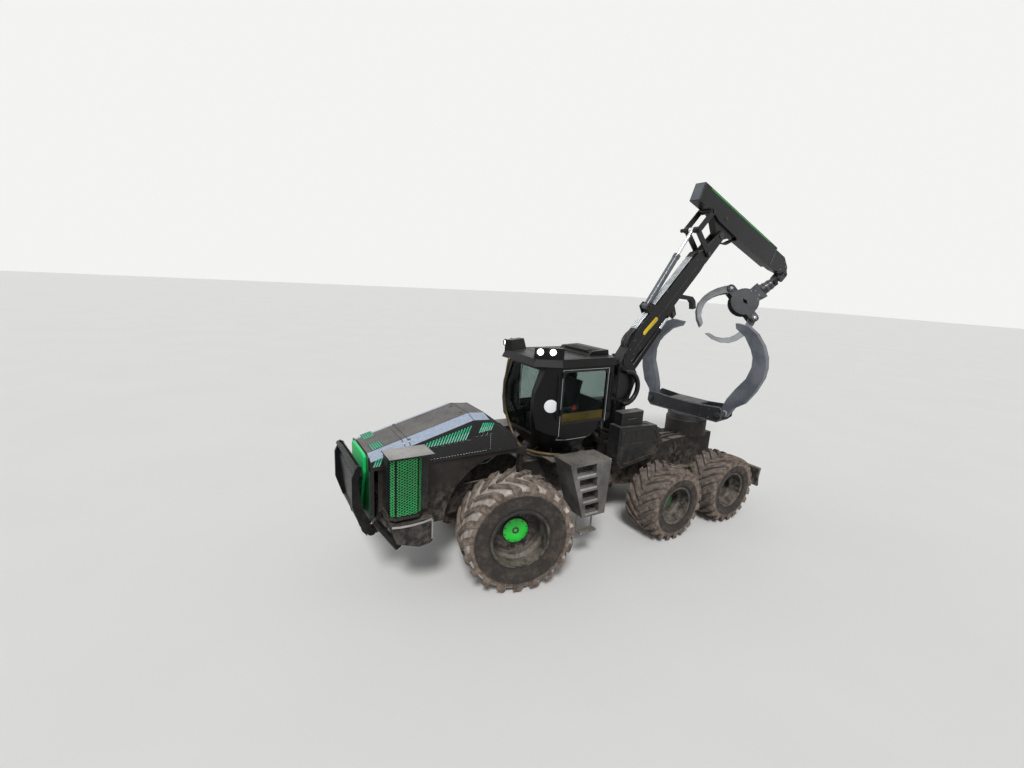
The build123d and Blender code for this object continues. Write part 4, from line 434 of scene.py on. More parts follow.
METALS = {
    "bunk_dark": ("bunk_dark", "15161a", "2c2d31", 0.5, 0.3, 0.7, "8d8f92", 0.2, 2.2, 0, 0.6),
    "body_black": ("body_black_paint", "050506", "0c0d0f", 0.36, 0.1, 0.22, "6e7276", 0.1, 1.9, 0,
                   0.15, 0, 0.2),
    "crane_black": ("crane_black_paint", "060607", "0e0f11", 0.33, 0.14, 0.3, "7c8084", 0, 1.9, 0,
                    0.15, 0, 0.32),
    "box_black": ("box_black_paint", "0a0a0b", "1b1b1c", 0.45, 0.5, 0.7, "85888b", 0.35, 2.1, 0,
                  0.25, 0, 0.3),
    "flank": ("flank_dusty", "1c1a19", "332e2b", 0.55, 0.4, 0.3, "8b8d90", 0.5, 1.9, 0, 0.25,
              0, 0.3),
    "frame_black": ("frame_black_paint", "171615", "2b2725", 0.6, 0.75, 0.4, "8b8d90", 0.75, 1.6, 0,
                    0.25, 0, 0.3),
    "green_paint": ("green_paint", "0ac72f", "18d63c", 0.34, 0.1, 0.1, "9fd8b0", 0, 1.9, 0, 0.25,
                    0.2),
    "green_slot": ("green_slot", "22b98a", "3ccf9f", 0.4, 0.15, 0.2, "d5efe4"),
    "green_mesh": ("green_mesh", "0ba34b", "16c264", 0.4, 0.12, 0.35, "b5e3c6"),
    "green_dark": ("green_stripe", "1b7a2a", "1f8f33", 0.45, 0.25, 0.2),
    "green_dusty": ("green_dusty", "1f7a3c", "4c4a3a", 0.6, 0.9),
    "hub_dirt": ("hub_dirt", "3a342e", "554a40", 0.7, 0.9),
    "step_steel": ("step_steel", "474543", "7c7975", 0.5, 0.6, 0.9, "cfccc6", 0.3, 1.7, 0.25, 0.6),
    "engine_iron": ("engine_iron", "2a2928", "3d3936", 0.7, 0.8),
    "steel": ("bright_pipe", "a9adb0", "8c9092", 0.3, 0.3, 0.2, "8b8d90", 0, 1.9, 0.85),
    "tool_steel": ("tool_steel", "232427", "3c3d41", 0.45, 0.5, 0.8, "8b8d90", 0.2, 2.0, 0.2),
    "tine_steel": ("tine_steel", "66686b", "8a8c8e", 0.42, 0.4, 0.8, "c8c8c6", 0, 1.9, 0.5, 0.5),
    "bunk_grey": ("bunk_grey", "4a4e56", "70757c", 0.45, 0.45, 0.8, "b9bbbd", 0, 1.9, 0.15, 0.7),
    "cylinder_grey": ("cylinder_grey", "3a3f47", "50565f", 0.36, 0.4, 0.4, "8b8d90", 0, 1.9, 0,
                      0.25, 0.2),
    "chrome": ("chrome_rod", "dfe2e4", "c9cdd0", 0.12, 0.08, 0, "8b8d90", 0, 1.9, 1.0, 0.05),
    "rim_black": ("rim_dusty", "171615", "2e2a27", 0.55, 0.6, 0.6, "a79c90", 0.55, 1.3),
    "interior": ("interior_plastic", "26282a", "333537", 0.7, 0.3, 0.1, "8b8d90", 0, 1.9, 0, 0.5),
    "silver": ("silver_edge", "a9adb3", "c3c6ca", 0.35, 0.2, 0.1, "8b8d90", 0, 1.9, 0.5),
    # This black also colours the dark sheets behind the hood louvres, which are painted shade
    "seam": ("seam_black_and_slot_shade", "0c0d0e", "161514", 0.7, 0.3, 0),
    # This white also colours the painted highlights along the hood slot slats
    "white": ("white_blank_and_highlights", "eceef0", "e0e2e4", 0.4, 0.15, 0.1),
    "yellow": ("blank_yellow", "e3c21a", "cfae12", 0.45, 0.2, 0.2, "6b5f2a"),
    "amber": ("amber_dust", "b08437", "8a6428", 0.6, 0.4, 0),
    "tread_pale": ("tread_pale", "8c8b8a", "b0aeaa", 0.5, 0.35, 0.8, "d8d6d2", 0, 1.9, 0.1, 0.5),
    "bar_dusty": ("bar_dusty", "15130f", "57461f", 0.4, 0.5, 0.4, "8b8d90", 0, 1.9, 0, 0.25,
                  0, 0.4),
    "red": ("reflector_red", "d8301c", "b82412", 0.3, 0.1, 0, "8b8d90", 0, 1.9, 0, 0.25, 0.4),
}
LOOKS = {}


def make_looks():
    LOOKS.update({look: metal(*values) for look, values in METALS.items()})
    LOOKS["nose"] = nose_paint("nose_paint")
    LOOKS["hood_grey"] = hood_paint("hood_paint")
    LOOKS["glass"] = clear_glass("window_glass", (0.72, 0.78, 0.76, 1))
    LOOKS["lamp"] = lamp_lens("lamp_lens", 0)
    LOOKS["lamp_lit"] = lamp_lens("lamp_lit", 7.0)
    LOOKS["seat_fabric"] = cloth("seat_cloth", "1d1f21", "2b2d30")
    LOOKS["hose"] = rubber("hose_rubber", "1b1c1e", "57524d")
    LOOKS["front_tyre"] = tyre_rubber("front_tyre_mud", FRONT_RADIUS, FRONT_FLANGE)
    LOOKS["rear_tyre"] = tyre_rubber("rear_tyre_mud", REAR_RADIUS, REAR_FLANGE)


# Mesh tools

def circle(centre, side, other, radius, count, turn=0.0):
    return [centre + radius * (math.cos(a) * side + math.sin(a) * other)
            for a in (turn + 2 * math.pi * k / count for k in range(count))]


class Piece:
    """A mesh under construction; points come in drawing millimetres."""

    def __init__(self, name, look, body, slot, place=None):
        self.name = name
        self.look = look
        self.body = body
        self.slot = slot
        self.place = place
        self.bm = bmesh.new()

    def vert(self, point):
        return self.bm.verts.new(Vector(point) / 1000 if self.place else at(*point))

    def loft(self, rings, caps=True, endless=False):
        """Skins rows of points; each row is a closed ring."""
        rows = [[self.vert(p) for p in ring] for ring in rings]
        count = len(rows[0])
        for near, far in zip(rows, rows[1:] + rows[:1] if endless else rows[1:]):
            for j in range(count):
                k = (j + 1) % count
                self.bm.faces.new((near[j], near[k], far[k], far[j]))
        if caps:
            self.bm.faces.new(rows[0][::-1])
            self.bm.faces.new(rows[-1])

    def prism(self, outline, way):
        self.loft([outline, [Vector(p) + Vector(way) for p in outline]])

    def box(self, low, high):
        (x0, x1), (y0, y1), (z0, z1) = (sorted(pair) for pair in zip(low, high))
        self.prism([(x0, y0, z0), (x1, y0, z0), (x1, y1, z0), (x0, y1, z0)], (0, 0, z1 - z0))

    def ring(self, centre, way, radius, sides):
        way = Vector(way).normalized()
        side = way.orthogonal().normalized()
        return circle(Vector(centre), side, way.cross(side), radius, sides)

    def rod(self, start, end, radius, sides=20, end_radius=None):
        way = Vector(end) - Vector(start)
        self.loft([self.ring(start, way, radius, sides),
                   self.ring(end, way, end_radius or radius, sides)])

    def turned(self, base, way, profile, sides=24, caps=True):
        """A profile of (distance along, radius) turned about a line."""
        unit = Vector(way).normalized()
        self.loft([self.ring(Vector(base) + unit * d, unit, r, sides) for d, r in profile], caps)

    def bolts(self, spots, way, size, height):
        unit = Vector(way).normalized()
        for spot in map(Vector, spots):
            self.turned(spot, unit, [(0, size * 1.35), (height * 0.25, size * 1.35)], 12)
            self.turned(spot + unit * height * 0.2, unit,
                        [(0, size), (height * 0.7, size), (height, size * 0.8)], 6)

    def pipe(self, points, radius, sides=10, steps=6):
        """A round pipe along a smooth line through given points."""
        line = smooth_line([Vector(p) for p in points], steps)
        rings = []
        side = (line[1] - line[0]).orthogonal().normalized()
        for i, point in enumerate(line):
            way = (line[min(i + 1, len(line) - 1)] - line[max(i - 1, 0)]).normalized()
            side = (side - way * side.dot(way)).normalized()
            rings.append(circle(point, side, way.cross(side), radius, sides))
        self.loft(rings)

    def band(self, points, normal, width, thick, closed=False):
        """A flat strip along a polyline, lying on the surface that faces along the normal."""
        up = Vector(normal).normalized()
        line = [Vector(p) for p in points]
        rings = []
        for i, point in enumerate(line):
            before = line[i - 1] if i or closed else None
            after = line[(i + 1) % len(line)] if i + 1 < len(line) or closed else None
            way_in = (point - before).normalized() if before else (after - point).normalized()
            way_out = (after - point).normalized() if after else way_in
            side = (way_in + way_out).normalized().cross(up).normalized()
            grow = 1 / max(0.5, side.dot(way_in.cross(up).normalized()))
            half = side * (width / 2 * grow)
            rings.append([point - half, point + half, point + half + up * thick,
                          point - half + up * thick])
        self.loft(rings + rings[:closed], caps=not closed)

    def side_band(self, sign, x, points, width, thick, closed=False):
        self.band([(sign * x, y, z) for y, z in points], (sign, 0, 0), width, thick, closed)

    def done(self, smooth=35, bevel=0.0):
        mesh = bpy.data.meshes.new(self.name)
        bmesh.ops.recalc_face_normals(self.bm, faces=self.bm.faces)
        self.bm.to_mesh(mesh)
        self.bm.free()
        mesh.materials.append(LOOKS[self.look])
        piece = bpy.data.objects.new(self.name, mesh)
        bpy.context.collection.objects.link(piece)
        if self.place:
            piece.matrix_world = self.place
        if bevel:
            rounding = piece.modifiers.new("edge", "BEVEL")
            rounding.width = bevel / 1000
            rounding.segments = 2
            rounding.limit_method = "ANGLE"
            rounding.angle_limit = math.radians(40)
        mesh.shade_smooth()
        mesh.set_sharp_from_angle(angle=math.radians(smooth))
        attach(piece, self.body)
        return piece


def finish(*pieces):
    for piece in pieces:
        piece.done()


def smooth_line(points, steps):
    """Catmull-Rom line through the points."""
    full = [points[0] * 2 - points[1]] + points + [points[-1] * 2 - points[-2]]
    line = []
    for a, b, c, d in zip(full, full[1:], full[2:], full[3:]):
        for i in range(steps):
            t = i / steps
            line.append(0.5 * ((2 * b) + (c - a) * t + (2 * a - 5 * b + 4 * c - d) * t * t
                               + (3 * b - a - 3 * c + d) * t * t * t))
    return line + points[-1:]


# Wheels

def wheel_places():
    """Matrix of each wheel: local +X points out of the machine."""
    places = {}
    for sign, letter in zip(SIDES, "lr"):
        flip = Matrix.Identity(4) if sign > 0 else Matrix.Rotation(math.pi, 4, "Z")
        pin = Matrix.Translation(at(sign * KINGPIN_X, 0, FRONT_RADIUS))
        turn = Matrix.Rotation(STEER_REST, 4, "Z")
        out = Matrix.Translation((sign * (WHEEL_X - KINGPIN_X) / 1000, 0, 0))
        places["f" + letter] = pin @ turn @ out @ flip
        for row, y in REAR_AXLES.items():
            places[row[0] + letter] = Matrix.Translation(at(sign * WHEEL_X, y, REAR_RADIUS)) @ flip
    return places


def tyre_section(radius, flange):
    """Half section of the carcass from the bead to the middle of the tread, as (x, radius)."""
    crown = radius - LUG_HIGH
    wall = ((330, 0.1), (332, 0.13), (338, 0.16), (339, 0.2), (336, 0.22), (341, 0.42), (344, 0.58),
            (341, 0.72), (328, 0.84), (306, 0.93))
    return ([(297, flange - 20), (298, flange + 4), (312, flange + 16)]
            + [(x, flange + part * (crown - flange)) for x, part in wall]
            + [(276, crown - 14), (200, crown - 6), (100, crown), (0, crown + 1)])


def tyre(name, body, place, radius, flange, lugs, look, node):
    piece = Piece(name, look, body, "tyre", place)
    lean = 1 if name.endswith("left") else -1
    half = tyre_section(radius, flange)
    section = half + [(-x, r) for x, r in reversed(half[:-1])]
    around = lugs * 6
    turns = [2 * math.pi * i / around for i in range(around)]
    piece.loft([[(x, r * math.sin(a), r * math.cos(a)) for x, r in section] for a in turns],
               caps=False, endless=True)
    for sign, ahead in zip(SIDES, (0.0, 0.5)):
        for i in range(lugs):
            add_lug(piece, radius, flange, sign, 2 * math.pi * (i + ahead) / lugs, lean)
    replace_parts(piece.done(smooth=30), node)


def add_lug(piece, radius, flange, sign, start, lean):
    """One curved lug with bevelled shoulders, from the middle of the tread over its edge."""
    crown = radius - LUG_HIGH
    rise = crown - flange
    swing = 350 * math.tan(math.radians(38)) * 1.15
    stations = [
        (12, radius - 3, crown - 20, -0.5, 88, 112), (60, radius, crown - 20, -0.36, 98, 124),
        (130, radius, crown - 20, -0.12, 106, 132), (200, radius, crown - 22, 0.13, 112, 138),
        (262, radius - 3, crown - 30, 0.32, 120, 146),
        (308, radius - 10, crown - 50, 0.43, 122, 148),
        (336, radius - 24, crown - 80, 0.51, 120, 144),
        (349, radius - 46, crown - 110, 0.555, 114, 136),
        (350, flange + 0.62 * rise, flange + 0.56 * rise, 0.6, 96, 110),
    ]
    share = 1.0 if radius == FRONT_RADIUS else 0.8
    rings = []
    for x, top, low, along, top_width, low_width in stations:
        wide = top_width * share / 2
        foot = low_width * share / 2
        jog = RNG.uniform(-4, 4)
        over = x > 330
        inner = 322 if over else x
        depth = top - (6 if over else 9)
        corners = [(inner, low, -foot), (x, depth, -wide - 3 + jog), (x, top, -wide + 8),
                   (x, top, wide - 8), (x, depth, wide + 3 + jog), (inner, low, foot)]
        turned = [(cx, r, lean * (start + (along * swing + offset) / radius))
                  for cx, r, offset in corners]
        rings.append([(sign * cx, r * math.sin(a), r * math.cos(a)) for cx, r, a in turned])
    piece.loft(rings)


def hub(body, place, flange, radius, look):
    """Hub disc with its bolts, the rim's bolts and the valve."""
    out = (1, 0, 0)
    disc = Piece(f"hub_disc_{body}", look, body, "green_paint", place)
    disc.turned((HUB_FACE_X, 0, 0), out,
                [(-30, radius - 2), (5, radius - 2), (9, radius - 10), (9, 70), (5, 62), (5, 26),
                 (12, 22), (13, 10)], 48)
    fixings = Piece(f"hub_bolts_{body}", "tool_steel", body, "rim_black", place)
    across = Vector((0, 1, 0))
    face = Vector((HUB_FACE_X + 8, 0, 0))
    fixings.bolts(circle(face, UP, across, radius - 24, 10), out, 9, 9)
    rim = Vector((-16, 0, 0))
    fixings.bolts(circle(rim, UP, across, radius + 62, 12, math.pi / 12), out, 15, 22)
    valve = Piece(f"rim_valve_{body}", "steel", body, "steel", place)
    r = flange - 82
    valve.rod((150, 0, r), (196, 0, r - 26), 7, 10)
    valve.rod((196, 0, r - 26), (214, 0, r - 36), 10, 10)
    finish(disc, fixings, valve)


def make_wheels():
    rows = {"f": ("front", FRONT_RADIUS, FRONT_FLANGE, 19, 196, "green_paint"),
            "m": ("mid", REAR_RADIUS, REAR_FLANGE, 20, 176, "green_dusty"),
            "r": ("rear", REAR_RADIUS, REAR_FLANGE, 20, 176, "hub_dirt")}
    for key, place in wheel_places().items():
        word, radius, flange, lugs, disc, look = rows[key[0]]
        side = "left" if key[1] == "l" else "right"
        tread = "front_tyre" if key[0] == "f" else "rear_tyre"
        body = f"wheel_{key}"
        tyre(f"{word}_tyre_mud_{side}", body, place, radius, flange, lugs, tread,
             f"{word}_tyre_{side}")
        hub(body, place, flange, disc, look)


# Hood, nose and coolers

def hood_z(x, y):
    """Height of the hood's skin over a plan point."""
    (y0, z0), (y1, z1) = next(pair for pair in zip(HOOD_LINE, HOOD_LINE[1:]) if y <= pair[1][0])
    z = z0 + (z1 - z0) * (y - y0) / (y1 - y0)
    return z - max(0, abs(x) - HOOD_TOP_HALF) / (HOOD_HALF - HOOD_TOP_HALF) * HOOD_DROP


def on_hood(x, y, out=0.0):
    return (x, y, hood_z(x, y) + out)


def make_hood_lines():
    seams = Piece("hood_seams", "seam", "front", "body_black")
    for y in HOOD_SEAMS:
        seams.band([on_hood(x, y, 0.2) for x in (-492, -300, 300, 492)], HOOD_UP, 10, 1.6)
    for x in (-298, 298):
        seams.band([on_hood(x, y, 0.4) for y in (-2060, *HOOD_SEAMS, -575)], HOOD_UP, 7, 1.6)
    for y, up, width in ((-570, (0, 0, 1), 9), (-302, (0, 0.3, 0.95), 8)):
        seams.band([on_hood(x, y, 0.5) for x in (-490, -300, 300, 490)], up, width, 1.8)
    x = HOOD_HALF + SKIN
    edge = hood_z(HOOD_HALF, -270)
    for sign in SIDES:
        for y in HOOD_SEAMS:
            seams.side_band(sign, x, [(y, 1935), (y, hood_z(HOOD_HALF, y))], 8, 1.6)
        line = [(-270, 1935), (-270, edge - 30), (-120, edge - 60), (180, 2080)]
        seams.side_band(sign, x, line, 16, 2)
        seams.side_band(sign, x, [(-1244, 1962), (-301, 1976)], 26, 2)

    slope = Vector((0, 0.963, 0.27))
    lift = Vector(HOOD_UP)
    slats = Piece("hood_top_louvres", "green_slot", "front", "green_paint")
    # A dark band under the top louvre slats: painted shade in the openings between them
    louvre_shade = Piece("hood_top_louvre_shade", "seam", "front", "body_black")
    for x in (-285, 175):
        louvre_shade.band([on_hood(x, y, SKIN) for y in (-1996, -1838)], HOOD_UP, 254, 1.2)
        for i in range(5):
            low = Vector(on_hood(x, -1985 + i * 31, 1.6)) - Vector((115, 0, 0))
            high = low + slope * 15
            slats.prism([low, high, high + lift * 5, low + lift * 2], (230, 0, 0))
    finish(seams, slats, louvre_shade)


def make_hood_slots():
    backs = Piece("hood_slot_slats", "green_slot", "front", "green_paint")
    # White strips along the slot slats are painted highlights; this piece also holds small white marks on the
    # seams and bands
    white_highlights_and_marks = Piece("hood_slot_highlights_and_white_marks", "white", "front", "body_black")
    # Dark sheets behind the slot slats: painted shade in the openings between them
    deep = Piece("hood_slot_painted_shade", "seam", "front", "body_black")

    def slanted(piece, sign, y, low, high, wide, inner, outer):
        lean = (high - low) * 0.45
        quad = [(y, low), (y + wide, low), (y + wide + lean, high), (y + lean, high)]
        piece.prism([(sign * inner, *spot) for spot in quad], (sign * (outer - inner), 0, 0))

    groups = ((-1545, 20, 44, 42, 26, 9.6), (-480, 6, 38, 52, 150, -8))
    for sign in SIDES:
        x = sign * (HOOD_HALF + SKIN)
        for first, count, pitch, inset, drop, grow in groups:
            edge = []
            crest = []
            for i in range(count):
                y = first + i * pitch
                high = hood_z(HOOD_HALF, y) - inset
                low = high - drop - i * grow
                slanted(backs, sign, y, low, high, 21, 500.6, 503.6)
                # Painted highlight along the lower rear edge of the slat
                slanted(white_highlights_and_marks, sign, y + 15, low, low + (high - low) * 0.55, 6, 503.4, 504.6)
                edge.append((y - 14, low - 10))
                crest.append((y + 30 + (high - low) * 0.45, high + 10))
            if grow > 0:
                edge += [(y, hood_z(HOOD_HALF, y) - down) for y, down in ((-640, 260), (-480, 220))]
                crest += [(y, hood_z(HOOD_HALF, y) - down) for y, down in ((-560, 32), (-430, 40))]
            # Painted shade: one thin dark sheet from each slot to the next
            for a, b, c, d in zip(edge, edge[1:], crest[1:], crest):
                deep.prism([(x, *a), (x, *b), (x, *c), (x, *d)], (sign * 0.8, 0, 0))
        for i in range(3):
            y = -2046 + i * 34
            slanted(backs, sign, y, 1985, 2085 + i * 6, 18, 500.6, 503.6)
            # Painted highlight on the corner slat
            slanted(white_highlights_and_marks, sign, y + 12, 1985, 2040, 6, 503.4, 504.6)
        low, high = sign * 502.2, sign * 503.4
        for z in range(1990, 2240, 30):
            white_highlights_and_marks.box((low, -273, z), (high, -267, z + 13))
        for y in range(-1230, -310, 46):
            z = 1962 + (y + 1244) * 14 / 943
            white_highlights_and_marks.box((low, y, z + 4), (high, y + 22, z + 9))
        for y in HOOD_SEAMS:
            z = hood_z(400, y)
            white_highlights_and_marks.box((sign * 400 - 26, y - 9, z + 1), (sign * 400 + 26, y + 9, z + 7))
    finish(backs, white_highlights_and_marks, deep)


def make_nose():
    tube = Piece("nose_side_tubes", "body_black", "front", "frame_black")
    caps = Piece("nose_tube_caps", "silver", "front", "steel")
    fittings = Piece("hood_fittings", "tool_steel", "front", "body_black")
    for sign in SIDES:
        a = Vector((sign * 560, -1996, 1165))
        b = Vector((sign * 690, -1758, 830))
        way = (b - a).normalized()
        tube.turned(a - way * 60, way, [(0, 42), (6, 50), ((b - a).length + 60, 50)], 28)
        caps.turned(b, way, [(0, 50), (4, 50), (8, 44), (9, 20)], 28)
        spots = [(sign * 500.4, y, 1965) for y in (-1700, -1320, -700, -100)]
        fittings.bolts(spots, (sign, 0, 0), 9, 8)
        fittings.turned(on_hood(sign * 180, -640), HOOD_UP, [(0, 26), (6, 26), (9, 20)], 20)
        fittings.turned(on_hood(sign * 360, -1500), HOOD_UP, [(0, 20), (5, 20), (8, 15)], 20)
    handle = ((-2132, 1700), (-2150, 1730), (-2150, 1850), (-2132, 1880))
    fittings.pipe([(150, y, z) for y, z in handle], 7, 10, 4)
    finish(tube, caps, fittings)


def mesh_grid(piece, corner, across, width, height):
    """Expanded metal: zigzag strands over an upright rectangle, from its lower corner."""
    columns = max(1, round(width / 66))
    rows = max(1, round(height / 38))
    pitch = (width / columns, height / rows)
    half = UP * 4
    deep = across.cross(UP).normalized() * 5
    middle, left, right, top = (0.5, 0), (0, 0.5), (1, 0.5), (0.5, 1)
    for j in range(rows):
        for i in range(columns):
            for strand in ((middle, left), (middle, right), (left, top), (right, top)):
                ends = [corner + across * (pitch[0] * (i + u)) + UP * (pitch[1] * (j + v))
                        for u, v in strand]
                piece.loft([[p - half, p + half, p + half + deep, p - half + deep] for p in ends],
                           caps=False)


def make_grilles():
    """Expanded metal guards with bevelled ends, in place of the plain barred trays."""
    piece = Piece("side_grille_mesh", "green_mesh", "front", "green_paint")
    rim = Piece("side_grille_frames", "body_black", "front", "green_paint")
    edge = 16
    bevel = RADIATOR_BEVEL
    inner = RADIATOR_OUT - bevel
    plan = [(inner - 40, RADIATOR_FRONT_Y), (inner, RADIATOR_FRONT_Y),
            (RADIATOR_OUT, RADIATOR_FRONT_Y + bevel), (RADIATOR_OUT, RADIATOR_REAR_Y - bevel),
            (inner, RADIATOR_REAR_Y), (inner - 40, RADIATOR_REAR_Y)]
    low = RADIATOR_LOW_Z + 40 + SKIN
    for sign, top in zip(SIDES, RADIATOR_TOPS):
        tall = top - SKIN - low
        for turn in range(5):
            a, b = (Vector((sign * x, y, low)) for x, y in plan[turn:turn + 2][::sign])
            way = (b - a).normalized()
            out = way.cross(UP).normalized()
            back = -out * 12
            span = (b - a).length
            if span > 60:
                start = a + way * edge + UP * edge - out * 8
                mesh_grid(piece, start, way, span - 2 * edge, tall - 2 * edge)
            for lift in (0, tall - edge):
                rim.loft([[p, p + back, p + back + UP * edge, p + UP * edge]
                          for p in (a + UP * lift, b + UP * lift)])
            if turn in (0, 4):
                p = a if (turn == 0) == (sign > 0) else b - way * edge
                rim.prism([p, p + way * edge, p + way * edge + back, p + back], UP * tall)
    for done in (piece.done(smooth=20), rim.done(smooth=20)):
        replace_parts(done, "side_grilles")

    trim = Piece("wing_edges", "tread_pale", "front", "steel")
    treads = Piece("radiator_treads", "tread_pale", "front", "step_steel")
    lower = [(-1905, 1262), (-1800, 1246), (-1640, 1238), (-1480, 1246), (-1350, 1266)]
    for sign, top in zip(SIDES, RADIATOR_TOPS):
        trim.side_band(sign, 890.3, lower, 30, 3)
        trim.side_band(sign, 890.3, [(-1343, 1262), (-1343, 965)], 20, 3)
        treads.box((sign * 508, -1938, top + 16.3), (sign * 898, -1332, top + 18.5))
        for i in range(9):
            for j in range(12):
                treads.turned((sign * (535 + i * 40), -1915 + j * 50, top + 18), UP,
                              [(0, 12), (4, 9), (4, 5), (1, 4)], 10)
    finish(trim, treads)


# Cab

def side_x(y, z):
    """How far out the cab's side is, between the bevel and the round foot."""
    r = 520 + 480 / 550 * (z - 1800)
    reach = abs(y - CAB_Y)
    return min(CAB_HALF, math.sqrt(r * r - reach * reach) if r > reach else 0)


def screen_y(z):
    """How far forward the windscreen is at a height."""
    if z > 2800:
        return CAB_FRONT_Y + 30 + (z - 2800) / 430 * 150
    if z > 2500:
        return CAB_FRONT_Y + 20 + (z - 2500) / 300 * 10
    return CAB_FRONT_Y + 20 + (2500 - z) / 300 * 60


def corner_spot(share, out, z):
    """A point on the left front corner panel."""
    way = Vector((CAB_HALF - CAB_FRONT_HALF, CAB_BEVEL_Y - CAB_FRONT_Y))
    off = Vector((way.y, -way.x)).normalized() * out
    return Vector((CAB_FRONT_HALF + way.x * share + off.x, CAB_FRONT_Y + way.y * share + off.y, z))


def make_door():
    front, rear, low, high = DOOR_FRONT_Y + 9, DOOR_REAR_Y - 9, 2018, DOOR_TOP_Z - 8
    around = ([(front, z) for z in (low, 2055, 2095, 2300, 2700, high)]
              + [(y, high) for y in (1100, 1400, rear)]
              + [(rear, z) for z in (2800, 2500, 2260, 2180, 2120, 2060, low)]
              + [(y, low) for y in (1760, 1660, 1560, 1450, 1350, 1150, 1050, 960)])
    line = Piece("door_edge_line", "silver", "cab_door", "body_black")
    line.band([(side_x(y, z) + SKIN, y, z) for y, z in around], (1, 0, 0), 9, 2.2, closed=True)
    line.done()

    gasket = Piece("door_window_seal", "seam", "cab_door", "body_black")
    y0 = DOOR_FRONT_Y + DOOR_FRAME
    y1 = DOOR_REAR_Y - DOOR_FRAME
    z1 = DOOR_TOP_Z - DOOR_FRAME
    loop = [(y0, 2300), (y1, 2300), (y1, z1 - 50), (y1 - 60, z1), (y0 + 60, z1), (y0, z1 - 50)]
    gasket.side_band(1, CAB_HALF + SKIN, loop, 18, 3.5, closed=True)
    gasket.done()
    handle = Piece("door_handle", "tool_steel", "cab_door", "body_black")
    handle.rod((681, 1760, 2232), (712, 1760, 2232), 9, 12)
    handle.box((704, 1745, 2130), (716, 1775, 2250))
    handle.turned((680.5, 1760, 2170), (1, 0, 0), [(0, 20), (8, 18), (10, 12)], 20)
    handle.done(bevel=3)
    dusty = Piece("door_window_band", "amber", "cab_door", "glass")
    dusty.box((648, y0 + 2, 2303), (650.5, y1 - 2, 2458))
    dusty.done()


def make_cab():
    seal = Piece("screen_seal", "seam", "cab", "body_black")
    half = CAB_FRONT_HALF - 65
    front = [(-half, 3160), (half, 3160), (half, 2800), (half, 2450), (half - 60, 2080),
             (60 - half, 2080), (-half, 2450), (-half, 2800)]
    seal.band([(x, screen_y(z) - 0.5, z) for x, z in front], (0, -1, 0.1), 16, 3, closed=True)

    disc = Piece("blank_disc", "white", "cab", "body_black")
    spot = corner_spot(0.69, 0.6, 2600)
    disc.turned(spot, corner_spot(0.69, 1.6, 2600) - spot, [(0, 106), (2.5, 108), (3.5, 104)], 48)

    bar = Piece("cab_front_bar", "bar_dusty", "cab", "body_black")
    stay = Piece("cab_bar_stays", "body_black", "cab", "body_black")
    turns = [math.radians(degrees) for degrees in (30, 42, 54, 66)]
    foot = [(BAR_RADIUS * math.sin(a), CAB_Y - BAR_RADIUS * math.cos(a), 1780) for a in turns]
    bar.pipe([(-250, 452, 3222), (-245, 426, 3180), (-330, 426, 2735), (-304, 428, 2480),
              (-244, 442, 2260), (-120, 462, 2060), (60, 472, 1890), (230, 496, 1806)] + foot,
             25, 16)
    for x, y, z in foot[0:3:2]:
        way = Vector((x, y - CAB_Y, 0)).normalized()
        stay.rod(Vector((0, CAB_Y, 1790)) + way * 505, (x, y, 1786), 15, 12)

    triangle = Piece("red_reflector", "red", "cab_door", "glass")
    triangle.prism([(646, 1135, 2505), (646, 1235, 2505), (646, 1185, 2610)], (-6, 0, 0))

    wipers = Piece("wipers", "seam", "cab", "body_black")
    for x0, z0, out0, x1, z1, out1, sizes in (
            (-60, 3205, 8, -60, 3200, None, (16, 14)), (-60, 3200, 34, 60, 2760, 26, (7, 10, 5)),
            (10, 2960, 14, 110, 2540, 14, (6, 8))):
        far = screen_y(3205) - 40 if out1 is None else screen_y(z1) - out1
        wipers.rod((x0, screen_y(z0) - out0, z0), (x1, far, z1), *sizes)

    rail = Piece("cab_grab_rails", "body_black", "cab", "body_black")
    grip = ((680, 2420), (716, 2440), (722, 2500), (722, 3000), (716, 3060), (680, 3080))
    rail.pipe([(x, 1900, z) for x, z in grip], 11, 12, 5)
    grip = ((0, 2420), (36, 2450), (36, 3060), (0, 3090))
    rail.pipe([corner_spot(0.9, out, z) for out, z in grip], 10, 12, 5)

    roof = Piece("roof_lines", "seam", "cab", "body_black")
    loop = [(-430, 560), (430, 560), (600, 900), (600, 1880), (470, 2000), (-470, 2000),
            (-600, 1880), (-600, 900)]
    roof.band([(x, y, ROOF_Z + SKIN) for x, y in loop], UP, 9, 2, closed=True)
    for y in (900, 1400):
        roof.band([(-600, y, ROOF_Z + 0.4), (600, y, ROOF_Z + 0.4)], UP, 7, 2)
    spots = ((-540, 700), (540, 960), (-560, 1400), (560, 1400), (-540, 1820), (540, 1820))
    roof.bolts([(x, y, ROOF_Z) for x, y in spots], UP, 10, 8)

    bezels = Piece("lamp_bezels", "seam", "cab", "body_black")
    z = POD_TOP_Z - 58
    for share in (0.17, 0.62):
        base = corner_spot(share, 20, z)
        way = corner_spot(share, 21, z) - base
        for flip in SIDES:
            p = Vector((flip * base.x, base.y, base.z))
            w = Vector((flip * way.x, way.y, way.z))
            bezels.loft([bezels.ring(p + w * d, w, r, 28)
                         for d, r in ((-6, 56), (16, 58), (16, 49), (-6, 49))], caps=False)
    vent = Piece("cab_vent", "seam", "cab", "interior")
    for i in range(6):
        y = CAB_REAR_Y - 470 + i * 55
        vent.box((-330, y, ROOF_Z + 66), (330, y + 30, ROOF_Z + 84))
    finish(seal, disc, bar, stay, triangle, wipers, rail, roof, bezels, vent)


# Steps and tank

def add_cleat(piece, sign, x, y, z, wide, inset, high, length):
    section = ((0, 0), (wide, 0), (wide - inset, high), (inset, high))
    piece.prism([(sign * (x + dx), y, z + dz) for dx, dz in section], (0, length, 0))


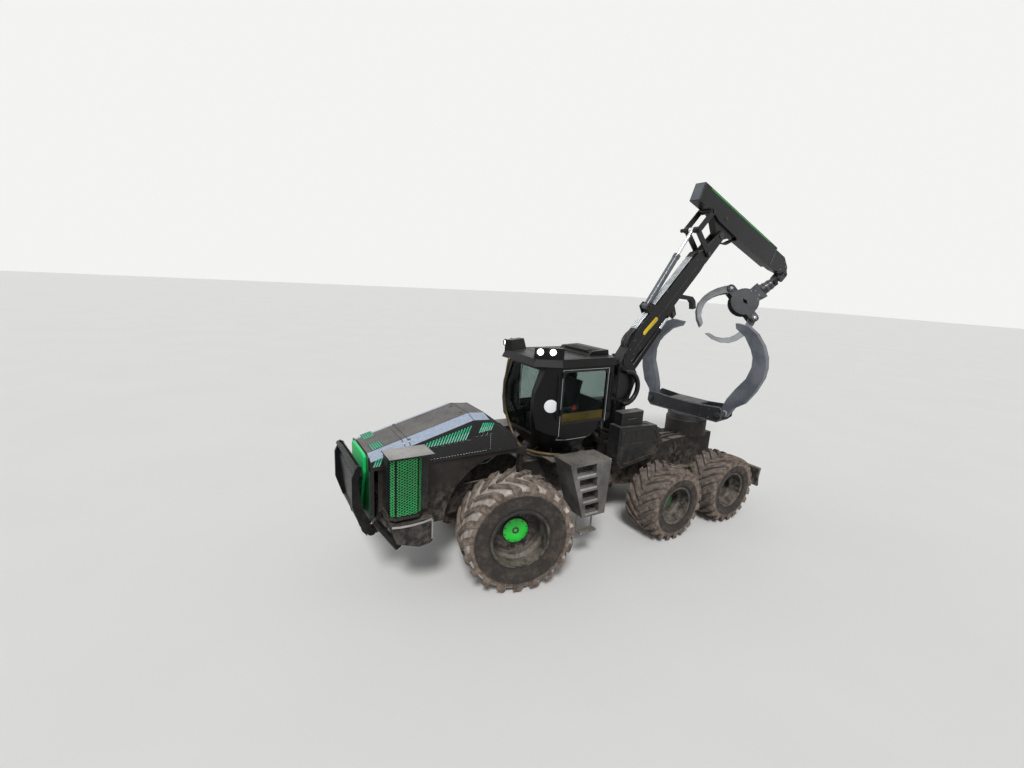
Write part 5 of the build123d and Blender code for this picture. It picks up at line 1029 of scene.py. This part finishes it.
def make_steps():
    """Worn lips and cleats on the treads, and a studded top."""
    cleats = Piece("step_cleats", "step_steel", "front", "step_steel")
    lips = Piece("step_lips", "tread_pale", "front", "step_steel")
    rise = (STEP_FRONT_LOW - STEP_FRONT_TOP) / (STEP_TOP - STEP_LOW)
    for sign in SIDES:
        for i in range(4):
            z = STEP_LOW + 60 + 225 * i
            lean = STEP_FRONT_LOW - rise * (z - STEP_LOW)
            y0 = lean + 74
            y1 = lean + 76 + 0.5 * (STEP_REAR - lean)
            for x in (1075, 1125, 1175):
                add_cleat(cleats, sign, x, y0 + 6, z, 14, 4, 9, y1 - y0 - 12)
            lip = ((1222, SKIN), (1243, SKIN), (1243, -22), (STEP_OUTER + SKIN, -22),
                   (STEP_OUTER + SKIN, 6), (1222, 6))
            lips.prism([(sign * x, y0, z + dz) for x, dz in lip], (0, y1 - y0, 0))
        for i in range(9):
            for j in range(14):
                y = 760 + j * 56
                z = STEP_TOP - 20 * (y - STEP_FRONT_TOP) / (STEP_REAR - STEP_FRONT_TOP)
                cleats.turned((sign * (835 + i * 46), y, z - 1), UP,
                              [(0, 13), (5, 10), (5, 6), (2, 4)], 8)
        lips.bolts([(sign * 1231, y, 601) for y in (1064, 1376)], (sign, 0, 0), 9, 7)
        for x in (1100, 1190):
            add_cleat(cleats, sign, x, 1056, 612, 12, 3, 8, 328)
    finish(cleats, lips)


def make_tank():
    """Raised panel, latches and a pale lid on the boxes of the rear frame."""
    panel = Piece("tank_panels", "box_black", "rear", "body_black")
    lid = Piece("tank_lids", "step_steel", "rear", "body_black")
    fittings = Piece("tank_fittings", "tool_steel", "rear", "tool_steel")
    loop = [(2350, 1990), (3180, 1948), (3360, 1655), (3280, 1450), (2440, 1330), (2350, 1430)]
    spots = ((2380, 1960), (3160, 1920), (3320, 1655), (3250, 1480), (2460, 1365), (2380, 1450))
    for sign in SIDES:
        x = 640 + SKIN
        panel.side_band(sign, x, loop, 26, 9, closed=True)
        panel.side_band(sign, x, [(2720, 1960), (2720, 1385)], 16, 7)
        panel.side_band(sign, x, [(2360, 1720), (3320, 1700)], 12, 5)
        fittings.bolts([(sign * (x + 8), y, z) for y, z in spots], (sign, 0, 0), 9, 7)
        lid.box((sign * 384, 2384, 2290.3), (sign * 556, 2916, 2304))
        for y in (2440, 2560, 2680, 2800):
            lid.box((sign * 400, y, 2304), (sign * 540, y + 60, 2309))
        grip = ((561, 2500), (590, 2520), (590, 2700), (561, 2720))
        fittings.pipe([(sign * x, y, 2180) for x, y in grip], 8, 10, 4)
        fittings.turned((sign * 470, 3060, 2016), (0, 0.06, 1),
                        [(0, 62), (18, 62), (22, 54), (22, 20), (34, 18)], 28)
    hoses = Piece("deck_hoses", "hose", "rear", "frame_black")
    runs = ((-120, -200, 70), (-40, -130, 50), (60, 40, 62), (140, 160, 44))
    for i, (x0, x1, rise) in enumerate(runs):
        lift = 50 * (i % 2)
        hoses.pipe([(x0, 2985, 1420 + lift), (x0, 3110, 1430 + lift), (x0 + 10, 3320, 1440 + rise),
                    (x1, 3700, 1470 + rise / 2), (x1, 4050, 1512), (x1, 4300, 1519),
                    (x1, 4545, 1526)], 18, 12)
    finish(panel, lid, fittings, hoses)


# Crane, grapple and bunk

def make_boom():
    hoses = Piece("boom_hoses", "hose", "boom_arm", "body_black")
    ends = Piece("boom_hose_ends", "steel", "boom_arm", "steel")
    runs = (((1, 636, 234), (1, 560, 236), (1.1, 430, 252), (1.2, 300, 220), (1.2, 215, 140)),
            ((1, 2482, 234), (1, 2560, 238), (1.05, 2660, 226), (1.05, 2722, 150)))
    for x in (-56, -20, 20, 56):
        for run in runs:
            hoses.pipe([on_boom(x * spread, *spot) for spread, *spot in run], 14)
        for a, b in ((640, 606), (2478, 2512)):
            ends.rod(on_boom(x, a, 234), on_boom(x, b, 234), 19, 6)

    plates = Piece("boom_fittings", "tool_steel", "boom_arm", "body_black")
    spots = ((240, 70), (240, -60), (420, 120), (420, -100), (2560, 120), (2560, -60), (2660, 20))
    for sign in SIDES:
        out = (sign, 0, 0)
        for face, along, side, size in ((BOOM_SIDE, 0, 0, 78), (112.5, *LIFT_EYE, 40),
                                        (150 + SKIN, 2855, 0, 44), (BOOM_SIDE, BOOM_LENGTH, 0, 62)):
            plates.turned(on_boom(sign * face, along, side), out,
                          [(0, size), (9, size), (13, size - 8), (13, size * 0.5), (8, size * 0.42),
                           (8, 12)], 28)
        plates.bolts([on_boom(sign * BOOM_SIDE, *spot) for spot in spots], out, 10, 8)
        weld = ((300, -20), (900, 10), (2500, 10))
        plates.band([on_boom(sign * BOOM_SIDE, *spot) for spot in weld], out, 6, 3)
    yellow = Piece("boom_blank_plate", "yellow", "boom_arm", "body_black")
    shape = ((3150, 3650), (3196, 3638), (3506, 3925), (3496, 3966), (3438, 3982), (3148, 3706))
    yellow.prism([(BOOM_SIDE, y, z) for y, z in shape], (2, 0, 0))
    finish(hoses, ends, plates, yellow)


def make_stick():
    stripe = Piece("stick_stripes", "green_dark", "stick_arm", "body_black")
    fittings = Piece("stick_fittings", "tool_steel", "stick_arm", "body_black")
    rows = ((540, (-900, -560, -140, 300, 740, 1180, 1620, 1850)), (215, (520, 1100, 1700)))
    for sign in SIDES:
        x = sign * STICK_SIDE
        out = (sign, 0, 0)
        stripe.band([on_stick(x, -760, 596), on_stick(x, 1560, 596)], out, 30, 1.5)
        for side, places in rows:
            fittings.bolts([on_stick(x, along, side) for along in places], out, 8, 6)
        fittings.turned(on_stick(x, -60, 330), out, [(0, 34), (8, 34), (12, 26), (12, 8)], 24)
        fittings.band([on_stick(x, 1880, 180), on_stick(x, 1880, 610)], out, 44, 6)
        fittings.band([on_stick(x, -960, 270), on_stick(x, -960, 610)], out, 16, 4)
    cap = Piece("stick_end_plate", "cylinder_grey", "stick_arm", "body_black")
    cap.band([on_stick(0, STICK_TAIL - SKIN, side) for side in (272, 608)],
             (0, -math.cos(STICK_ANGLE), -math.sin(STICK_ANGLE)), 206, 4)
    stripe.done()
    cap.done(bevel=2)
    knee = Piece("knee_hoses", "hose", "stick_arm", "body_black")
    for i, x in enumerate((-44, -15, 15, 44)):
        run = ((60 + 8 * i, -44), (150, -70 - 6 * i), (300, -10 - 10 * i), (430, 100 - 8 * i),
               (560, 166))
        knee.pipe([on_stick(x, *spot) for spot in run], 13)

    tip = Piece("tip_hoses", "hose", "stick_slide", "body_black")
    run = ((-250, 555), (-190, 585), (-60, 540), (40, 440), (85, 360), (70, 320))
    for x in (-42, 0, 42):
        tip.pipe([on_stick(x, TIP_U + along, side) for along, side in run], 14)
    collars = Piece("tip_fittings", "silver", "stick_slide", "steel")
    spots = ((-150, 500), (-60, 440), (20, 380), (-230, 300))
    for sign in SIDES:
        collars.bolts([on_stick(sign * 85.3, TIP_U + along, side) for along, side in spots],
                      (sign, 0, 0), 9, 7)
    finish(fittings, knee, tip, collars)


def tool_frame():
    """Point and directions of the hanging tool, as its turned pins place them."""
    forward = math.radians(48.9)
    tilt = math.radians(21.0)
    turn = math.radians(52.0)
    link = Vector((0, -math.sin(forward), -math.cos(forward)))
    cross = Vector((0, math.cos(forward), -math.sin(forward)))
    down = link * math.cos(tilt) + Vector((-1, 0, 0)) * math.sin(tilt)
    across = Vector((1, 0, 0)) * math.cos(tilt) + link * math.sin(tilt)
    side = across * math.cos(turn) + cross * math.sin(turn)
    tip = Vector(on_stick(0, TIP_U, TIP_N))
    return tip + link * 250, down, side, down.cross(side)


def make_grapple():
    spot, down, side, axis = tool_frame()
    bright = Piece("grapple_pins", "silver", "grapple", "steel")
    plates = Piece("grapple_fittings", "tool_steel", "grapple", "tool_steel")
    for sign in SIDES:
        out = axis * sign
        face = spot + down * 860 + out * 135.3
        for s in (-430, 430):
            base = face + side * s + down * 60
            plates.turned(base, out, [(0, 84), (10, 84), (14, 74), (14, 38)], 32)
            bright.turned(base + out * 14.5, out, [(0, 36), (10, 36), (14, 30), (14, 8)], 24)
            bright.bolts(circle(base + out * 13.8, side, down, 60, 6), out, 7, 6)
        corners = ((-120, -250), (120, -250), (-60, -330), (60, -330))
        bright.bolts([face + side * s + down * d for s, d in corners], out, 9, 8)
    motor = Piece("rotator_bands", "cylinder_grey", "turner", "tool_steel")
    start = spot + down * 110
    for profile in (((20, 115.5), (22, 121), (48, 121), (50, 115.5)),
                    ((118, 115.5), (121, 126), (182, 126), (185, 115.5))):
        motor.turned(start, down, profile, 40, caps=False)
    for way in circle(Vector(), side, axis, 1, 8):
        motor.bolts([start + down * 152 + way * 125], way, 8, 7)
    finish(plates, bright, motor)


def on_bunk(x, y, z):
    c = math.cos(BUNK_TURN)
    s = math.sin(BUNK_TURN)
    return (x * c - y * s, x * s + y * c + BUNK_Y, z)


def make_bunk():
    rims = Piece("bunk_base_rims", "bunk_grey", "bunk", "bunk_grey")
    fittings = Piece("bunk_base_fittings", "tool_steel", "bunk", "tool_steel")
    face = Vector((-math.sin(BUNK_TURN), math.cos(BUNK_TURN), 0))
    outline = ((-775, 1942), (775, 1942), (856, 2022), (856, 2196), (806, 2246), (350, 2208),
               (-350, 2208), (-806, 2246), (-856, 2196), (-856, 2022))
    spots = ((600, 1990), (600, 2160), (420, 1990), (420, 2150))
    for out in SIDES:
        way = face * out
        y = out * (230 + SKIN)
        rims.band([on_bunk(x, y, z) for x, z in outline], way, 18, 6, closed=True)
        for sign in SIDES:
            fittings.turned(on_bunk(sign * BUNK_PIN_X, out * (250 + SKIN), BUNK_PIN_Z), way,
                            [(0, 62), (10, 62), (14, 52), (14, 20), (10, 16)], 28)
            fittings.bolts([on_bunk(sign * x, y, z) for x, z in spots], way, 11, 9)
    finish(rims, fittings)
    for sign, name in zip(SIDES, ("left", "right")):
        pins = Piece(f"bunk_arm_pins_{name}", "silver", f"bunk_{name}", "steel")
        for out in SIDES:
            pin = on_bunk(sign * BUNK_PIN_X, sign * 90 + out * 71.5, BUNK_PIN_Z)
            pins.turned(pin, face * out, [(0, 70), (5, 70), (8, 62), (8, 50)], 28)
        pins.done()


# Seat

def apply_modifiers(piece):
    graph = bpy.context.evaluated_depsgraph_get()
    mesh = bpy.data.meshes.new_from_object(piece.evaluated_get(graph), depsgraph=graph)
    piece.modifiers.clear()
    piece.data = mesh


def swell(piece):
    """Blows a pad up with cloth pressure, and keeps every point within the cap of where it was."""
    grid = piece.modifiers.new("grid", "REMESH")
    grid.mode = "VOXEL"
    grid.voxel_size = PAD_VOXEL
    apply_modifiers(piece)
    air = piece.modifiers.new("air", "CLOTH")
    air.settings.use_pressure = True
    air.settings.uniform_pressure_force = 4
    air.settings.effector_weights.gravity = 0
    air.point_cache.frame_start = 1
    air.point_cache.frame_end = PAD_FRAMES
    for number in range(1, PAD_FRAMES + 1):
        bpy.context.scene.frame_set(number)
    graph = bpy.context.evaluated_depsgraph_get()
    blown = [v.co.copy() for v in piece.evaluated_get(graph).data.vertices]
    piece.modifiers.remove(air)
    bpy.context.scene.frame_set(1)
    for vertex, goal in zip(piece.data.vertices, blown):
        move = goal - vertex.co
        if move.length > PAD_CAP:
            move = move.normalized() * PAD_CAP
        vertex.co += move
    soft = piece.modifiers.new("soft", "SUBSURF")
    soft.levels = 1
    soft.render_levels = 1
    piece.data.shade_smooth()
    apply_modifiers(piece)
    piece.data.shade_smooth()


def piping(name, pad, points):
    """A sewn welt that follows the pad's skin."""
    seam = Piece(name, "seam", "cab", "seat_fabric")
    line = []
    inverse = pad.matrix_world.inverted()
    for p in points:
        spot = pad.closest_point_on_mesh(inverse @ at(*p))[1]
        line.append((pad.matrix_world @ spot - SHIFT) * 1000)
    seam.pipe(line + line[:1], 4, 6, 3)
    seam.done()


def make_seat():
    y = CAB_Y + 120
    base = Piece("seat_base", "interior", "cab", "interior")
    rests = Piece("seat_armrests", "interior", "cab", "interior")
    rings = []
    for z, r in ((1846, 165), (1880, 165), (1900, 140), (1940, 158), (1980, 138), (2020, 156),
                 (2060, 138), (2090, 150)):
        corners = [(math.cos(a), math.sin(a)) for a in (2 * math.pi * k / 32 for k in range(32))]
        rings.append([(r * math.copysign(abs(c) ** 0.5, c),
                       y + r * math.copysign(abs(s) ** 0.5, s), z) for c, s in corners])
    base.loft(rings)
    base.box((-222, y - 240, 2088), (222, y + 225, 2128))
    section = ((-1, -0.8), (-0.8, -1), (0.8, -1), (1, -0.8), (1, 0.6), (0.7, 1), (-0.7, 1),
               (-1, 0.6))
    for sign in SIDES:
        base.loft([[(sign * x, y + dy, z)
                    for x, dy in ((x0, near), (x1, near), (x1, 122), (x0, 122))]
                   for x0, x1, near, z in ((252, 292, 70, 2200), (262, 300, 62, 2384))])
        base.loft([[(sign * x, y + dy, z + dz)
                    for dy, dz in ((80, 0), (112, 0), (112, 26), (80, 26))]
                   for x, z in ((200, 2100), (280, 2200))])
        rests.loft([[(sign * (290 + dx * w), y + dy, 2416 + dz * h) for dx, dz in section]
                    for dy, w, h in ((-226, 22, 16), (-215, 36, 30), (100, 38, 32), (190, 32, 28),
                                     (198, 22, 18))])
    own = [base.done(bevel=4), rests.done(bevel=3)]
    shapes = {
        "seat_cushion": ((-228, -120, 0, 120, 228), ((-256, 2142), (216, 2142), (216, 2226),
                                                     (-60, 2230), (-200, 2250), (-248, 2244))),
        "seat_back": ((-210, -110, 0, 110, 210), ((162, 2262), (258, 2258), (336, 2886),
                                                  (272, 2904))),
    }
    for name, (across, profile) in shapes.items():
        piece = Piece(name, "seat_fabric", "cab", "seat_fabric")
        piece.loft([[(x, y + dy, z) for dy, z in profile] for x in across])
        pad = piece.done()
        swell(pad)
        own.append(pad)
    welt = ((-206, -236), (0, -244), (206, -236), (222, -100), (222, 60), (206, 200), (0, 208),
            (-206, 200), (-222, 60), (-222, -100))
    piping("seat_cushion_welt", own[2], [(x, y + dy, 2262) for x, dy in welt])
    welt = ((-190, 2280), (0, 2270), (190, 2280), (200, 2450), (200, 2700), (180, 2880), (0, 2892),
            (-180, 2880), (-200, 2700), (-200, 2450))
    piping("seat_back_welt", own[3], [(x, y + 150 + (z - 2262) * 0.13, z) for x, z in welt])
    for piece in own:
        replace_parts(piece, "seat")


OWN_LOOKS = {
    "flank": ("side_panels",), "tine_steel": ("tine_left", "tine_right"), "nose": ("nose_panel",),
    "lamp_lit": ("roof_lamps",), "bunk_dark": ("bunk_base",),
    "box_black": ("side_boxes", "radiator_boxes"),
    "crane_black": ("boom", "stick", "extension", "rocker", "link", "crane_column"),
}


def main():
    make_camera()
    make_looks()
    make_floor()
    make_lights()
    slots = {row["node"]: row["material_slot"] for row in frame["record"]["subparts"]}
    own = {node: look for look, nodes in OWN_LOOKS.items() for node in nodes}
    for name, node in frame["nodes"].items():
        look = LOOKS.get(own.get(name, slots[name]), LOOKS["frame_black"])
        for holder in node.material_slots:
            holder.material = look
    make_wheels()
    make_hood_lines()
    make_hood_slots()
    make_nose()
    make_grilles()
    make_door()
    make_cab()
    make_steps()
    make_tank()
    make_boom()
    make_stick()
    make_grapple()
    make_bunk()
    make_seat()
    bpy.context.scene.view_settings.view_transform = "Standard"


main()
